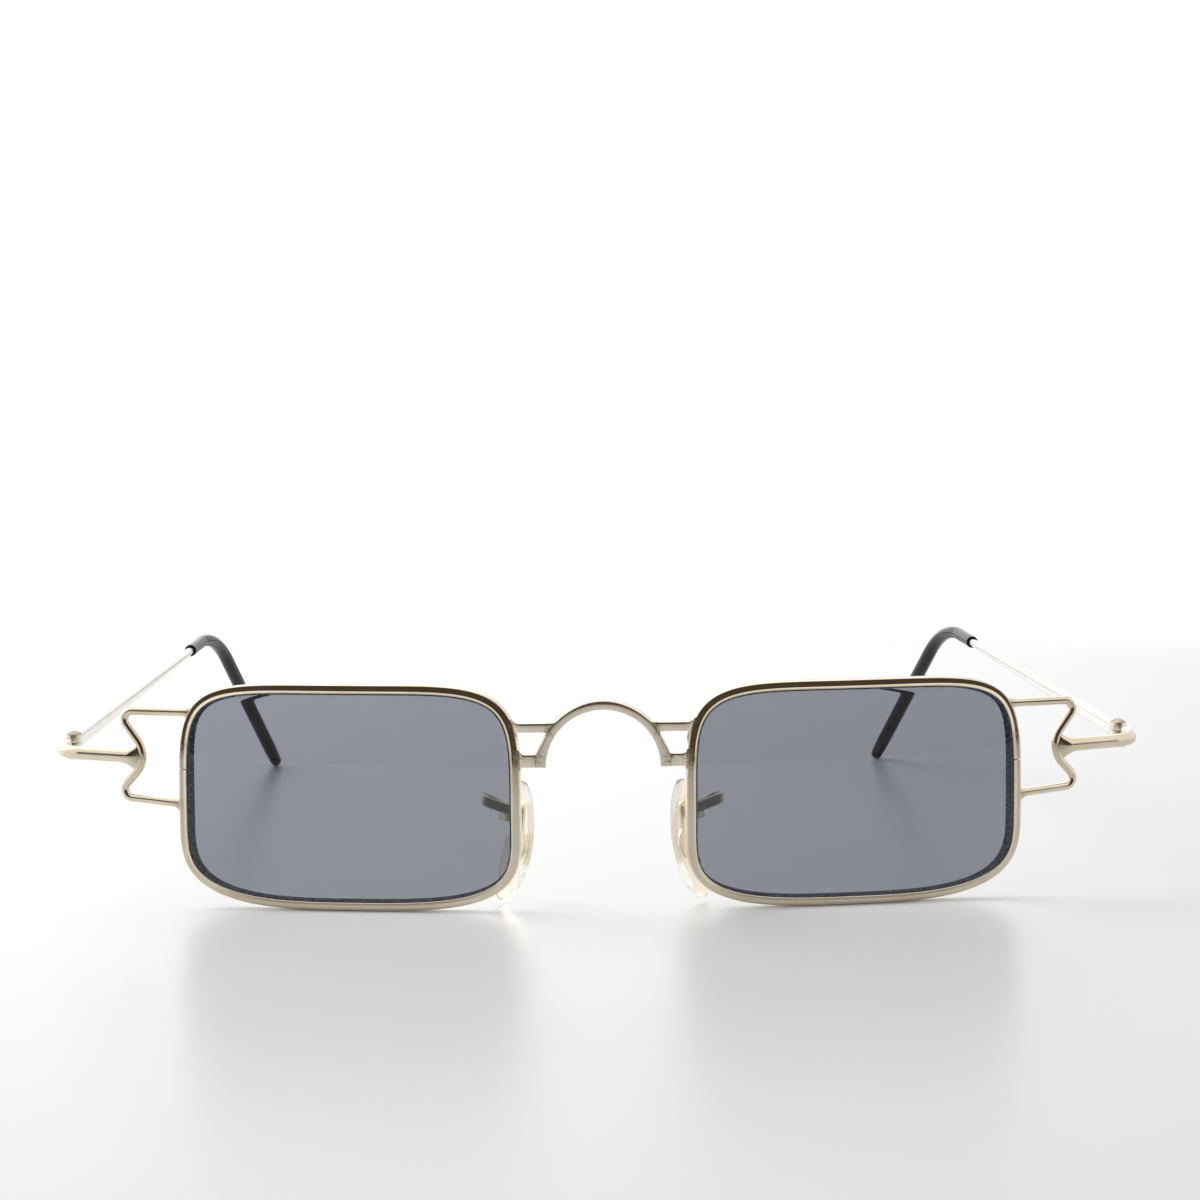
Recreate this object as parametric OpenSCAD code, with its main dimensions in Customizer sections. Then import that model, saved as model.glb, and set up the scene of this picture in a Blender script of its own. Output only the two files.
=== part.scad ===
// Small square sunglasses: thin grooved metal rims joined by an arched bridge,
// waved wire end pieces, adjustable nose pads and folding temples with black sleeves.
// The glasses stand on a table: X runs across the face, the front looks along -Y,
// the temples run back along +Y, and the lowest points of the rims are at Z = 0.

/* [Rims] */
// Distance between the two rims, across the nose
rim_gap = 20.2; // [16:0.1:24]
// From the middle of a rim out to its nasal edge
rim_nasal_w = 21.1; // [18:0.1:25]
// From the middle of a rim out to its temple edge
rim_temple_w = 21.45; // [18:0.1:25]
// Height of a rim
rim_h = 27.9; // [24:0.1:34]
// Height at which a rim is widest
rim_widest_z = 10.7; // [9:0.1:14]
// Squareness of the upper corner on the temple side
square_upper_temple = 5.4; // [2.5:0.1:7]
// Squareness of the upper corner on the nasal side
square_upper_nasal = 5.0; // [2.5:0.1:7]
// Squareness of the lower corner on the nasal side
square_lower_nasal = 3.7; // [2.5:0.1:7]
// Squareness of the lower corner on the temple side
square_lower_temple = 3.2; // [2.5:0.1:7]
// Width of the rim wire, seen from the front
eyewire_w = 1.05; // [0.9:0.05:1.4]
// Depth of the rim wire, from front to back
eyewire_d = 2.0; // [1.6:0.05:2.6]
// Depth of the groove that holds the lens
groove_depth = 0.5; // [0.3:0.05:0.6]
// Mouth of the groove
groove_w = 1.3; // [0.9:0.05:1.5]
// Angle of each rim, swept back at the temple side
face_form = 9; // [4:0.5:12]
// Radius of the sphere that the lenses and rims follow
base_radius = 130; // [85:5:260]
// Radius of the rim wire's outer corners
eyewire_round = 0.3; // [0.1:0.05:0.4]
// Bevel of the rim wire's inner corners
eyewire_lip = 0.12; // [0.05:0.01:0.2]
// From the top of a rim down to the cut that lets the lens in
split_drop = 10.7; // [9:0.1:13]
// Gap left in the rim at that cut
split_gap = 0.1; // [0.05:0.05:0.4]

/* [Closing blocks] */
// Width of a closing block
block_w = 1.2; // [1.1:0.05:2]
// How far a closing block stands out past the rim's edge
block_out = 0.2; // [0:0.05:0.4]
// Gap between the two closing blocks
block_gap = 0.04; // [0.02:0.01:0.1]
// Depth of a closing block, behind the rim
block_d = 1.8; // [1.4:0.05:2.4]
// Height of one closing block
block_h = 1.5; // [1.2:0.05:2.2]
// Radius of the rim screw
rim_screw_r = 0.35; // [0.25:0.05:0.4]
// Radius of the rim screw's head
rim_screw_head_r = 0.55; // [0.5:0.05:0.7]

/* [Lenses] */
// Thickness of a lens
lens_t = 1.8; // [1.6:0.05:1.95]
// Gap between the lens and its rim
lens_gap = 0.03; // [0.01:0.01:0.08]

/* [Bridge] */
// Inner radius of the arch
arch_r = 7.0; // [5.5:0.1:8]
// Thickness of the arch at its crown
arch_t = 1.1; // [0.9:0.05:1.4]
// Thickness of the arch at its feet
arch_foot_t = 1.3; // [1:0.05:1.6]
// Depth of the bridge, from front to back
bridge_d = 1.7; // [1.2:0.05:2.2]
// From the upper bars down to the underside of the arch's feet
foot_drop = 4.85; // [4:0.05:6]
// Height of the lower blocks beside the feet
stub_h = 1.55; // [1.2:0.05:2]
// From the top of the rims down to the middle of the upper bars
bar_drop = 5.25; // [4:0.05:7]
// Thickness of the upper bars
bar_h = 1.1; // [0.8:0.05:1.4]
// Radius of the brazed fillets at the bars' ends
bar_fillet = 0.5; // [0.2:0.05:0.6]

/* [End pieces] */
// Diameter of the waved wire
wire_d = 1.05; // [0.8:0.05:1.4]
// From the top of a rim down to the wire's upper straight
upper_drop = 3.75; // [3:0.05:5]
// From the upper straight down to the lower straight, at its corner
lower_drop = 10.7; // [9:0.05:12]
// Drop of the lower straight towards the rim
wire_lower_drop = 0.6; // [0:0.05:1.2]
// From the upper straight down to the wave's turn towards the rim
wave_drop = 5.75; // [4.5:0.05:6.5]
// From the rim out to the upper corner of the wire
upper_reach = 8.6; // [6.5:0.1:10]
// From the rim out to the lower corner of the wire
lower_reach = 8.8; // [6.5:0.1:10]
// From the rim out to the turn of the wave
wave_reach = 4.1; // [3:0.1:5]
// Radius of the wire's corners
corner_r = 1.05; // [0.8:0.05:1.4]
// Radius of the wave's turn
wave_r = 3.2; // [2:0.1:4]
// Radius of the brazed fillets where the wire meets the rim
wire_fillet = 0.4; // [0.1:0.05:0.5]
// Angle of the end pieces, swept back from the front
end_sweep = 20; // [12:1:30]
// Diameter of the arm that carries the hinge
arm_d = 1.7; // [1.3:0.05:2]
// Radius of the arm's bend
arm_bend_r = 3.8; // [2:0.1:4]

/* [Hinges] */
// From the middle of the glasses to a hinge axis
hinge_x = 66.4; // [64:0.05:70]
// From the arm's corner back to a hinge axis
hinge_back = 4.8; // [4.4:0.1:8]
// From the wave's turn up to the middle of a hinge
hinge_rise = 0.3; // [-0.5:0.1:1]
// Radius of the knuckles
knuckle_r = 1.0; // [0.9:0.05:1.2]
// Height of one knuckle
knuckle_h = 1.0; // [0.8:0.05:1.2]
// Length of the temple half of a hinge, back from its axis
leaf_back = 4.0; // [2.5:0.1:6]
// Gap between knuckles, and where the two halves meet
hinge_gap = 0.05; // [0.03:0.01:0.1]
// Radius of the hinge screw
hinge_screw_r = 0.5; // [0.4:0.05:0.6]
// Running gap round the hinge screw
screw_gap = 0.04; // [0.02:0.01:0.08]
// Height of the domed head of the hinge screw
screw_dome = 0.45; // [0.3:0.05:0.6]

/* [Temples] */
// Angle at which the open temples run towards each other
toe_in = 6.7; // [0:0.1:10]
// Angle at which the temples rise towards the back
temple_rise = 3.2; // [0:0.1:5]
// Length of the straight part of a temple
temple_straight = 84.5; // [75:0.5:95]
// Thickness of a temple at its hinge
temple_root_w = 1.35; // [1.2:0.05:1.8]
// Height of a temple at its hinge
temple_root_h = 2.1; // [1.6:0.05:2.8]
// Diameter of a temple where its sleeve begins
temple_end_d = 1.1; // [0.9:0.05:1.4]
// Radius of the bend over the ear
ear_bend_r = 16; // [10:1:25]
// Angle of the hook, down from level
hook_angle = 41; // [35:1:50]
// Angle at which the hooks turn inwards
hook_inward = 7; // [0:0.5:12]

/* [Sleeves] */
// Length of the straight temple that a sleeve covers, before the bend
sleeve_lead = 8.5; // [5:0.5:15]
// Diameter of a sleeve at its mouth
sleeve_mouth_d = 1.75; // [1.6:0.05:2.2]
// Diameter of a sleeve at its thickest
sleeve_d = 2.0; // [1.8:0.05:2.6]
// Gap between a sleeve and the wire inside it
sleeve_gap = 0.02; // [0.01:0.01:0.05]
// Length of solid sleeve past the end of the wire
sleeve_solid = 4; // [2.5:0.5:8]

/* [Nose pads] */
// Length of a nose pad
pad_l = 15; // [13:0.1:17]
// Width of a nose pad
pad_w = 7.0; // [6:0.1:8.5]
// Thickness of a nose pad
pad_t = 1.4; // [1.2:0.05:2]
// Radius of a pad's bow along its length
pad_bow_r = 30; // [14:0.5:40]
// From the top of a pad down to its screw
pad_screw_drop = 4.0; // [3.4:0.1:5]
// From the middle of the glasses to a pad's screw
pad_x = 11.25; // [10.8:0.05:12.5]
// From the front of the bridge back to a pad's screw
pad_y = 6.9; // [6.4:0.1:8]
// Height of a pad's screw
pad_z = 11.4; // [11.2:0.1:12.5]
// Angle at which a pad's rear edge turns outwards
pad_splay = 24; // [15:1:35]
// Angle at which a pad's lower end leans outwards
pad_lean = 11.5; // [5:0.5:14]
// Radius of the pad screw
pad_screw_r = 0.3; // [0.2:0.05:0.35]
// Thickness of the tab on the pad's core
tab_w = 1.1; // [0.9:0.05:1.4]
// Clearance between the tab and its box
tab_gap = 0.05; // [0.03:0.01:0.1]

/* [Pad arms] */
// Height of the pad arm's flat strip
strip_h = 1.3; // [1:0.05:1.6]
// Thickness of the pad arm's flat strip
strip_t = 0.45; // [0.35:0.05:0.6]
// Height at which a pad arm leaves its rim
strip_root_z = 12.1; // [11.5:0.1:14]
// Height of the pad arm's loop
strip_loop_z = 13.4; // [13:0.1:15]
// How far the loop reaches out behind the lens
strip_reach = 3.8; // [3.2:0.1:4.5]
// Distance between the loop's two limbs
strip_span = 3.2; // [2.8:0.1:3.6]
// Radius of the loop's bends
strip_bend_r = 1.1; // [0.8:0.1:1.4]

/* [Hidden] */

// How far one brazed piece sinks into the next
braze = 0.06;
// Points round a rim, a round wire and the bend of a temple
rim_steps = 92;
wire_sides = 10;
bend_steps = 7;
// A power below 1 that gathers a rim's points at its corners
gather = 0.6;
// Sides of the arm, and of a temple and its sleeve
arm_sides = 14;
temple_sides = 12;

// Heights above the table
split_z = rim_h - split_drop;
bar_z = rim_h - bar_drop;
arch_foot_z = bar_z - foot_drop;
wire_upper_z = rim_h - upper_drop;
wire_lower_z = wire_upper_z - lower_drop;
wave_z = wire_upper_z - wave_drop;
hinge_z = wave_z + hinge_rise;

metal = "silver";
smoke = [0.35, 0.36, 0.39, 0.6];
clear = [0.95, 0.9, 0.78, 0.6];
black = [0.07, 0.07, 0.07];

// Vectors

function unit(v) = v / norm(v);

function powered(x, p) = sign(x) * pow(abs(x), p);

// A point turned by an angle about Z
function turned(p, a) = [p.x * cos(a) - p.y * sin(a), p.x * sin(a) + p.y * cos(a), p.z];

function mixed(a, b, f) = a * (1 - f) + b * f;

// A path through corner points, with an arc of its own radius at each inner corner.
// An arc's points turn evenly from one tangent point to the other.
function corner_arc(before, corner, after, r, steps) =
    let (
        u = unit(before - corner),
        v = unit(after - corner),
        half = acos(u * v) / 2,
        middle = corner + unit(u + v) * r / sin(half),
        first = corner + u * r / tan(half) - middle,
        last = corner + v * r / tan(half) - middle,
        turn = 180 - 2 * half
    )
    [for (k = [0:steps])
        middle + (sin(turn * (1 - k / steps)) * first + sin(turn * k / steps) * last) / sin(turn)];

function rounded_path(corners, radii, steps) = [
    corners[0],
    for (i = [1:len(corners) - 2])
        each corner_arc(corners[i - 1], corners[i], corners[i + 1], radii[i - 1], steps),
    corners[len(corners) - 1]];

// One ring of a sweep: a flat section placed square to the path at point i.
// The section's first axis lies across the path and across "up".
function swept_ring(path, i, section, up) =
    let (
        ahead = path[min(i + 1, len(path) - 1)],
        behind = path[max(i - 1, 0)],
        along = unit(ahead - behind),
        side = unit(cross(along, up)),
        top = cross(side, along)
    )
    [for (q = section) path[i] + side * q.x + top * q.y];

// A run of points on a straight, and how far a round fillet stands out at each of them
fillet_steps = 4;

function run_points(from, to, length) =
    [for (k = [0:fillet_steps]) from + unit(to - from) * length * k / fillet_steps];

function fillet_out(r, i) =
    i >= fillet_steps ? 0 : r * (1 - sqrt(1 - pow(1 - i / fillet_steps, 2)));

function circle_section(r, sides) =
    [for (k = [0:sides - 1]) [r * cos(360 * k / sides), r * sin(360 * k / sides)]];

// An oval that squares up as its power rises above 2
function oval_section(w, h, power, sides) =
    [for (k = [0:sides - 1])
        [powered(cos(360 * k / sides), 2 / power) * w / 2,
         powered(sin(360 * k / sides), 2 / power) * h / 2]];

// A closed solid through rings of equal length, with a flat cap on each end
module skin(rings) {
    n = len(rings[0]);
    m = len(rings);
    polyhedron(
        points = [for (ring = rings) each ring],
        faces = [
            [for (k = [n - 1:-1:0]) k],
            for (i = [0:m - 2], k = [0:n - 1])
                each [
                    [i * n + k, i * n + (k + 1) % n, (i + 1) * n + (k + 1) % n],
                    [i * n + k, (i + 1) * n + (k + 1) % n, (i + 1) * n + k]],
            [for (k = [0:n - 1]) (m - 1) * n + k]]);
}

module both_sides(side) {
    if (side == "left") children();
    else mirror([1, 0, 0]) children();
}

// The rim's outline, in the rim's own plane: [outwards, height].
// Each quarter is a superellipse about the level where the rim is widest.
function quarter_w(a) = cos(a) >= 0 ? rim_temple_w : rim_nasal_w;

function quarter_h(a) = sin(a) >= 0 ? rim_h - rim_widest_z : rim_widest_z;

function quarter_square(a) =
    cos(a) >= 0
        ? (sin(a) >= 0 ? square_upper_temple : square_lower_temple)
        : (sin(a) >= 0 ? square_upper_nasal : square_lower_nasal);

// The direction of a step round the rim, with the steps gathered at the corners
function step_direction(s) =
    atan2(quarter_h(s) * powered(sin(s), gather), quarter_w(s) * powered(cos(s), gather));

function rim_edge(s) =
    let (
        a = step_direction(s),
        n = quarter_square(s),
        across = abs(cos(a)) / quarter_w(s),
        up = abs(sin(a)) / quarter_h(s),
        r = pow(pow(across, n) + pow(up, n), -1 / n)
    )
    [r * cos(a), r * sin(a)];

// Outward direction, square to the outline, from the superellipse's own slope
function rim_outward(s) =
    let (
        p = rim_edge(s),
        n = quarter_square(s),
        w = quarter_w(s),
        h = quarter_h(s)
    )
    unit([powered(p.x / w, n - 1) / w, powered(p.y / h, n - 1) / h]);

// A point some way in from the outline, with its height above the table
function rim_inset(s, inset) =
    let (p = rim_edge(s) - rim_outward(s) * inset)
    [p.x, p.y + rim_widest_z];

// How far the sphere has fallen back at a point of the rim's plane
function sag(x, z) = (x * x + (z - rim_h / 2) * (z - rim_h / 2)) / (2 * base_radius);

function on_sphere(p, depth) = [p.x, sag(p.x, p.y) + depth, p.y];

// Where the temple edge lies at a height above the table
function temple_edge(z) =
    let (
        h = z >= rim_widest_z ? rim_h - rim_widest_z : rim_widest_z,
        n = z >= rim_widest_z ? square_upper_temple : square_lower_temple
    )
    rim_temple_w * pow(1 - pow(abs(z - rim_widest_z) / h, n), 1 / n);

function nasal_edge(z) =
    let (
        h = z >= rim_widest_z ? rim_h - rim_widest_z : rim_widest_z,
        n = z >= rim_widest_z ? square_upper_nasal : square_lower_nasal
    )
    rim_nasal_w * pow(1 - pow(abs(z - rim_widest_z) / h, n), 1 / n);

// Place of the rim's plane in the glasses. The front of the bridge is at Y = 0,
// and the rims' nasal edges stand this far behind it.
bridge_proud = 0.1;
nasal_sag = sag(rim_nasal_w, rim_widest_z);
nasal_y = eyewire_d / 2 + bridge_proud;
rim_x = rim_gap / 2 + rim_nasal_w * cos(face_form) + nasal_sag * sin(face_form);
rim_y = nasal_y + rim_nasal_w * sin(face_form) - nasal_sag * cos(face_form);

function in_glasses(p) = [rim_x, rim_y, 0] + turned(p, face_form);

module in_rim() {
    translate([rim_x, rim_y, 0]) rotate([0, 0, face_form]) children();
}

// The wire of an end piece lies in an upright plane, swept back from the rim's temple edge
split_edge = temple_edge(split_z);
wire_root = in_glasses([split_edge, sag(split_edge, split_z), 0]);

function in_wire_plane(reach, z) =
    [wire_root.x + reach * cos(end_sweep), wire_root.y + reach * sin(end_sweep), z];

upper_corner = in_wire_plane(upper_reach, wire_upper_z);
wave_corner = in_wire_plane(wave_reach, wave_z);
lower_corner = in_wire_plane(lower_reach, wire_lower_z);

// The point of the wave that lies nearest its corner point, where the arm is brazed on
wave_before = unit(upper_corner - wave_corner);
wave_after = unit(lower_corner - wave_corner);
wave_half = acos(wave_before * wave_after) / 2;
wave_top = wave_corner + unit(wave_before + wave_after) * wave_r * (1 / sin(wave_half) - 1);

// The temple's middle lies a little outside the hinge axis. The arm's corner lies where the
// swept line from the wave meets the line of the temple, and the axis lies behind it.
temple_axis = 0.75;
arm_corner_x = hinge_x + temple_axis * cos(toe_in) + hinge_back * sin(toe_in);
arm_corner = [arm_corner_x, wave_top.y + (arm_corner_x - wave_top.x) * tan(end_sweep), hinge_z];
hinge_y = arm_corner.y - temple_axis * sin(toe_in) + hinge_back * cos(toe_in);

// The whole model sits with its origin under the middle of its box
hook_start_z = hinge_z + temple_straight * sin(temple_rise)
    - ear_bend_r * (cos(temple_rise) - cos(hook_angle));
tip_r = sleeve_mouth_d / 2;
// The middle of the round tip lies its own radius above the table
hook_to_tip = (hook_start_z - tip_r) / sin(hook_angle);
hook_l = hook_to_tip + tip_r;
bend_l = ear_bend_r * (hook_angle + temple_rise) * PI / 180;
temple_back = temple_straight * cos(temple_rise)
    + ear_bend_r * (sin(temple_rise) + sin(hook_angle)) + hook_to_tip * cos(hook_angle);
temple_turn_in = (hook_to_tip + bend_l) * tan(hook_inward);
back_y = hinge_y + temple_back * cos(toe_in)
    + (temple_axis - temple_turn_in) * sin(toe_in) + tip_r;
middle_y = back_y / 2;

module in_frame(side) {
    translate([0, -middle_y, 0]) both_sides(side) children();
}

// Rims

// The wire's section: [inset from the outline, depth], with a V groove for the lens
function corner_round(depth_side) =
    [for (k = [0:3]) [eyewire_round * (1 - cos(30 * k)),
                      depth_side * (eyewire_d / 2 - eyewire_round * (1 - sin(30 * k)))]];

eyewire_section = concat(
    [for (k = [3:-1:0]) corner_round(1)[k]],
    corner_round(-1),
    [[eyewire_w - eyewire_lip, -eyewire_d / 2],
     [eyewire_w, -eyewire_d / 2 + eyewire_lip],
     [eyewire_w, -groove_w / 2],
     [eyewire_w - groove_depth, 0],
     [eyewire_w, groove_w / 2],
     [eyewire_w, eyewire_d / 2 - eyewire_lip],
     [eyewire_w - eyewire_lip, eyewire_d / 2]]);

// The step at which the rim is cut, found from the height of the cut
split_rise = (split_z - rim_widest_z) / (rim_h - rim_widest_z);
split_run = split_edge / rim_temple_w;
split_step = atan(pow(split_rise / split_run, 1 / gather));
// Half of the cut as an angle of the steps: its height over the slope of the height there
split_slope = split_run * (rim_h - rim_widest_z) * gather
    * pow(tan(split_step), gather - 1) / pow(cos(split_step), 2);
split_half = split_gap / 2 / split_slope * 180 / PI;

module eyewire(side) {
    first = split_step + split_half;
    sweep = 360 - 2 * split_half;
    color(metal) in_frame(side) in_rim()
        skin([for (i = [0:rim_steps])
            let (s = first + sweep * i / rim_steps)
            [for (q = eyewire_section) on_sphere(rim_inset(s, q.x), q.y)]]);
}

// A lens is a curved plate whose edge carries a V that sits in the rim's groove
lens_inset = eyewire_w + lens_gap;
bevel_inset = eyewire_w - groove_depth + 2 * lens_gap;
bevel_half = groove_w / 2 - lens_gap;

function lens_ring(inset, depth, share) = [
    for (i = [0:rim_steps - 1])
        let (
            p = rim_inset(360 * i / rim_steps, inset),
            q = [p.x * share, mixed(rim_h / 2, p.y, share)]
        )
        on_sphere(q, depth)];

module lens(side) {
    color(smoke) in_frame(side) in_rim()
        skin([
            lens_ring(lens_inset, -lens_t / 2, 0.35),
            lens_ring(lens_inset, -lens_t / 2, 0.7),
            lens_ring(lens_inset, -lens_t / 2, 1),
            lens_ring(lens_inset, -bevel_half, 1),
            lens_ring(bevel_inset, 0, 1),
            lens_ring(lens_inset, bevel_half, 1),
            lens_ring(lens_inset, lens_t / 2, 1),
            lens_ring(lens_inset, lens_t / 2, 0.7),
            lens_ring(lens_inset, lens_t / 2, 0.35)]);
}

// Two small blocks behind the cut, drawn together by a screw
block_outer_x = split_edge + block_out;
block_inner_x = block_outer_x - block_w;
block_face_y = sag(block_inner_x, split_z) + eyewire_d / 2 - braze;
block_screw_x = block_outer_x - block_w / 2;
block_screw_y = block_face_y + block_d / 2;

module rim_block(side, up) {
    color(metal) in_frame(side) in_rim()
        difference() {
            translate([block_inner_x, block_face_y,
                       split_z + (up > 0 ? block_gap / 2 : -block_gap / 2 - block_h)])
                cube([block_w, block_d, block_h]);
            translate([block_screw_x, block_screw_y, split_z - 2 * block_h])
                cylinder(h = 4 * block_h, r = rim_screw_r + screw_gap, $fn = 24);
        }
}

rim_screw_head_h = 0.35;
rim_slot_w = 0.16;
rim_slot_depth = 0.15;

module rim_screw(side) {
    top = split_z + block_gap / 2 + block_h;
    color(metal) in_frame(side) in_rim()
        translate([block_screw_x, block_screw_y, 0])
            difference() {
                union() {
                    translate([0, 0, split_z - block_gap / 2 - block_h])
                        cylinder(h = 2 * block_h + block_gap, r = rim_screw_r, $fn = 24);
                    translate([0, 0, top])
                        cylinder(h = rim_screw_head_h, r = rim_screw_head_r, $fn = 32);
                }
                translate([-rim_screw_head_r, -rim_slot_w / 2, top + rim_screw_head_h - rim_slot_depth])
                    cube([2 * rim_screw_head_r, rim_slot_w, 2 * rim_slot_depth]);
            }
}

// Bridge

arch_outer_r = arch_r + arch_t;
// The outside of a leg runs straight down from where the arch has turned this far
leg_from = 28;
leg_foot_x = arch_r + arch_foot_t;
stub_top_z = arch_foot_z + stub_h;

function arch_point(r, a) = [r * cos(a), arch_foot_z + r * sin(a)];

arch_outline = [
    [leg_foot_x, arch_foot_z],
    [leg_foot_x, stub_top_z],
    for (k = [0:24]) arch_point(arch_outer_r, leg_from + (180 - 2 * leg_from) * k / 24),
    [-leg_foot_x, stub_top_z],
    [-leg_foot_x, arch_foot_z],
    for (k = [0:30]) arch_point(arch_r, 180 - 6 * k)];

// The front and rear edges of the crown's outside are bevelled
arch_bevel = 0.35;
bevel_from = 45;

module arch_edge_cut() {
    // How far the cutting body stands out past the arch
    past = 0.3;
    far = arch_bevel + past;
    rotate([0, 0, bevel_from])
        rotate_extrude(angle = 180 - 2 * bevel_from, $fn = 96)
            polygon([[arch_outer_r - far, -past], [arch_outer_r + far, -past],
                     [arch_outer_r + far, far], [arch_outer_r + past, far]]);
}

module bridge_arch() {
    color(metal) translate([0, -middle_y, 0])
        difference() {
            plate_xz(arch_outline);
            translate([0, 0, arch_foot_z]) rotate([90, 0, 0]) mirror([0, 0, 1]) arch_edge_cut();
            translate([0, bridge_d, arch_foot_z]) rotate([90, 0, 0]) arch_edge_cut();
        }
}

// X of a rim's nasal edge, in the glasses, at a height above the table
function nasal_x(z) =
    let (u = -nasal_edge(z))
    in_glasses([u, sag(u, z), z]).x;

module plate_xz(outline) {
    translate([0, bridge_d, 0]) rotate([90, 0, 0]) linear_extrude(bridge_d) polygon(outline);
}

// The bar's outline: each end widens along a quarter circle of the fillet's radius
function bar_outline(x0, x1, z, h, r) = concat(
    [for (k = [0:5]) [x0 + r * (1 - cos(18 * k)), z + h / 2 + r * (1 - sin(18 * k))]],
    [for (k = [5:-1:0]) [x1 - r * (1 - cos(18 * k)), z + h / 2 + r * (1 - sin(18 * k))]],
    [for (k = [0:5]) [x1 - r * (1 - cos(18 * k)), z - h / 2 - r * (1 - sin(18 * k))]],
    [for (k = [5:-1:0]) [x0 + r * (1 - cos(18 * k)), z - h / 2 - r * (1 - sin(18 * k))]]);

module bridge_bar(side) {
    arch_x = sqrt(pow(arch_outer_r, 2) - pow(bar_z - arch_foot_z, 2));
    color(metal) in_frame(side)
        difference() {
            plate_xz(bar_outline(arch_x - bar_h, nasal_x(bar_z) + braze, bar_z, bar_h, bar_fillet));
            translate([0, -1, arch_foot_z]) rotate([-90, 0, 0])
                cylinder(h = bridge_d + 2, r = arch_outer_r - braze, $fn = 96);
        }
}

// The block's outline: above and below, a fillet runs out onto the rim
block_fillet = 0.5;

module bridge_block(side) {
    top = stub_top_z;
    rim = nasal_x(arch_foot_z + stub_h / 2) + braze;
    r = block_fillet;
    color(metal) in_frame(side)
        plate_xz(concat(
            [[leg_foot_x, arch_foot_z], [leg_foot_x, top]],
            [for (k = [5:-1:0]) [rim - r * (1 - cos(18 * k)), top + r * (1 - sin(18 * k))]],
            [for (k = [0:5]) [rim - r * (1 - cos(18 * k)), arch_foot_z - r * (1 - sin(18 * k))]]));
}

// Nose pads

// A pad's own place: X to the side away from the nose, Y from its front edge to its
// rear edge, Z up along the pad, with the screw's axis along Y through the origin
module in_pad() {
    translate([pad_x, pad_y, pad_z]) rotate([0, -pad_lean, -pad_splay]) children();
}

function pad_to_glasses(p) =
    let (leaned = [p.x * cos(pad_lean) - p.z * sin(pad_lean), p.y,
                   p.x * sin(pad_lean) + p.z * cos(pad_lean)])
    [pad_x, pad_y, pad_z] + turned(leaned, -pad_splay);

// The middle of the pad's body, from the screw's axis
pad_middle_x = -1.75;
pad_middle_z = pad_screw_drop - pad_l / 2;
pad_sides = 24;
// Share by which a pad narrows at its top and widens at its bottom
pad_narrowing = 0.2;

// How far a bowed pad has turned away from the nose at a height in its own place
function pad_bow(z) = pad_bow_r - sqrt(pow(pad_bow_r, 2) - pow(z - pad_middle_z, 2));

// The pad's outline is a drop: rounder and narrower at its top
function pad_ring(share, x) = [
    for (k = [0:pad_sides - 1])
        let (
            a = 360 * k / pad_sides,
            y = pad_w / 2 * powered(cos(a), 0.85) * (1 - pad_narrowing * sin(a)),
            z = pad_middle_z + pad_l / 2 * sin(a) * mixed(1, share, 0.35)
        )
        [pad_middle_x + pad_bow(z) + x, y * share, z]];

// The core's plate: a neck beside the screw and an oval below it. Then its rounded tab.
core_t = 0.5;
core_neck_w = 2.0;
core_top = 1.2;
core_oval_w = 4.4;
core_oval_l = 4.4;
core_bottom = 6.2;
tab_r = 0.7;
// Gap between the core and the plastic moulded round it
core_gap = 0.01;

// Half the plate's width at a turn from the bottom of its oval. The neck is the least width,
// apart from a short flat at the bottom.
function core_half_w(turn) =
    max(core_oval_w / 2 * sin(turn), turn < 90 ? core_neck_w / 4 : core_neck_w / 2);

// The plate follows the pad's bow
module core_plate(extra) {
    t = core_t / 2 + extra;
    oval_z = core_oval_l / 2 - core_bottom;
    stops = [for (turn = [0:22.5:157.5])
        [oval_z - (core_oval_l / 2 + (turn == 0 ? extra : 0)) * cos(turn), core_half_w(turn)]];
    skin([for (q = concat(stops, [[core_top + extra, core_neck_w / 2]]))
        let (
            z = q[0],
            w = q[1] + extra,
            x = pad_middle_x + pad_bow(z)
        )
        [[x - t, -w, z], [x - t, w, z], [x + t, w, z], [x + t, -w, z]]]);
}

module core_stem(extra) {
    start = pad_middle_x + pad_bow(0);
    translate([start, -tab_w / 2 - extra, -tab_r - extra])
        cube([-start, tab_w + 2 * extra, 2 * (tab_r + extra)]);
}

module nose_pad(side) {
    half = pad_t / 2;
    color(clear) in_frame(side) in_pad()
        difference() {
            skin([
                pad_ring(0.5, half),
                pad_ring(0.86, half * 0.86),
                pad_ring(1, half * 0.3),
                pad_ring(1, -half * 0.3),
                pad_ring(0.86, -half * 0.8),
                pad_ring(0.5, -half)]);
            core_plate(core_gap);
            core_stem(core_gap);
        }
}

// The pad's metal core: a plate inside the pad and a tab that reaches out to the screw
module pad_core(side) {
    color(metal) in_frame(side) in_pad()
        difference() {
            union() {
                core_plate(0);
                core_stem(0);
                rotate([90, 0, 0]) cylinder(h = tab_w, r = tab_r, center = true, $fn = 32);
            }
            rotate([90, 0, 0])
                cylinder(h = 2 * tab_w, r = pad_screw_r + screw_gap, center = true, $fn = 24);
        }
}

// The box is a channel: two cheeks and the back plate that the pad arm is brazed to
box_inner_w = tab_w + 2 * tab_gap;
box_cheek = 0.45;
box_h = 2.2;
box_back = 1.05;
box_front = 0.4;
box_w = box_inner_w + 2 * box_cheek;

module pad_box(side) {
    color(metal) in_frame(side) in_pad()
        difference() {
            translate([-box_front, -box_w / 2, -box_h / 2])
                cube([box_front + box_back, box_w, box_h]);
            translate([-box_front - 1, -box_inner_w / 2, -box_h])
                cube([1 + box_front + tab_r + tab_gap, box_inner_w, 2 * box_h]);
            rotate([90, 0, 0])
                cylinder(h = 2 * box_w, r = pad_screw_r + screw_gap, center = true, $fn = 24);
        }
}

pad_screw_head_r = 0.5;
pad_screw_head_h = 0.3;

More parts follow.
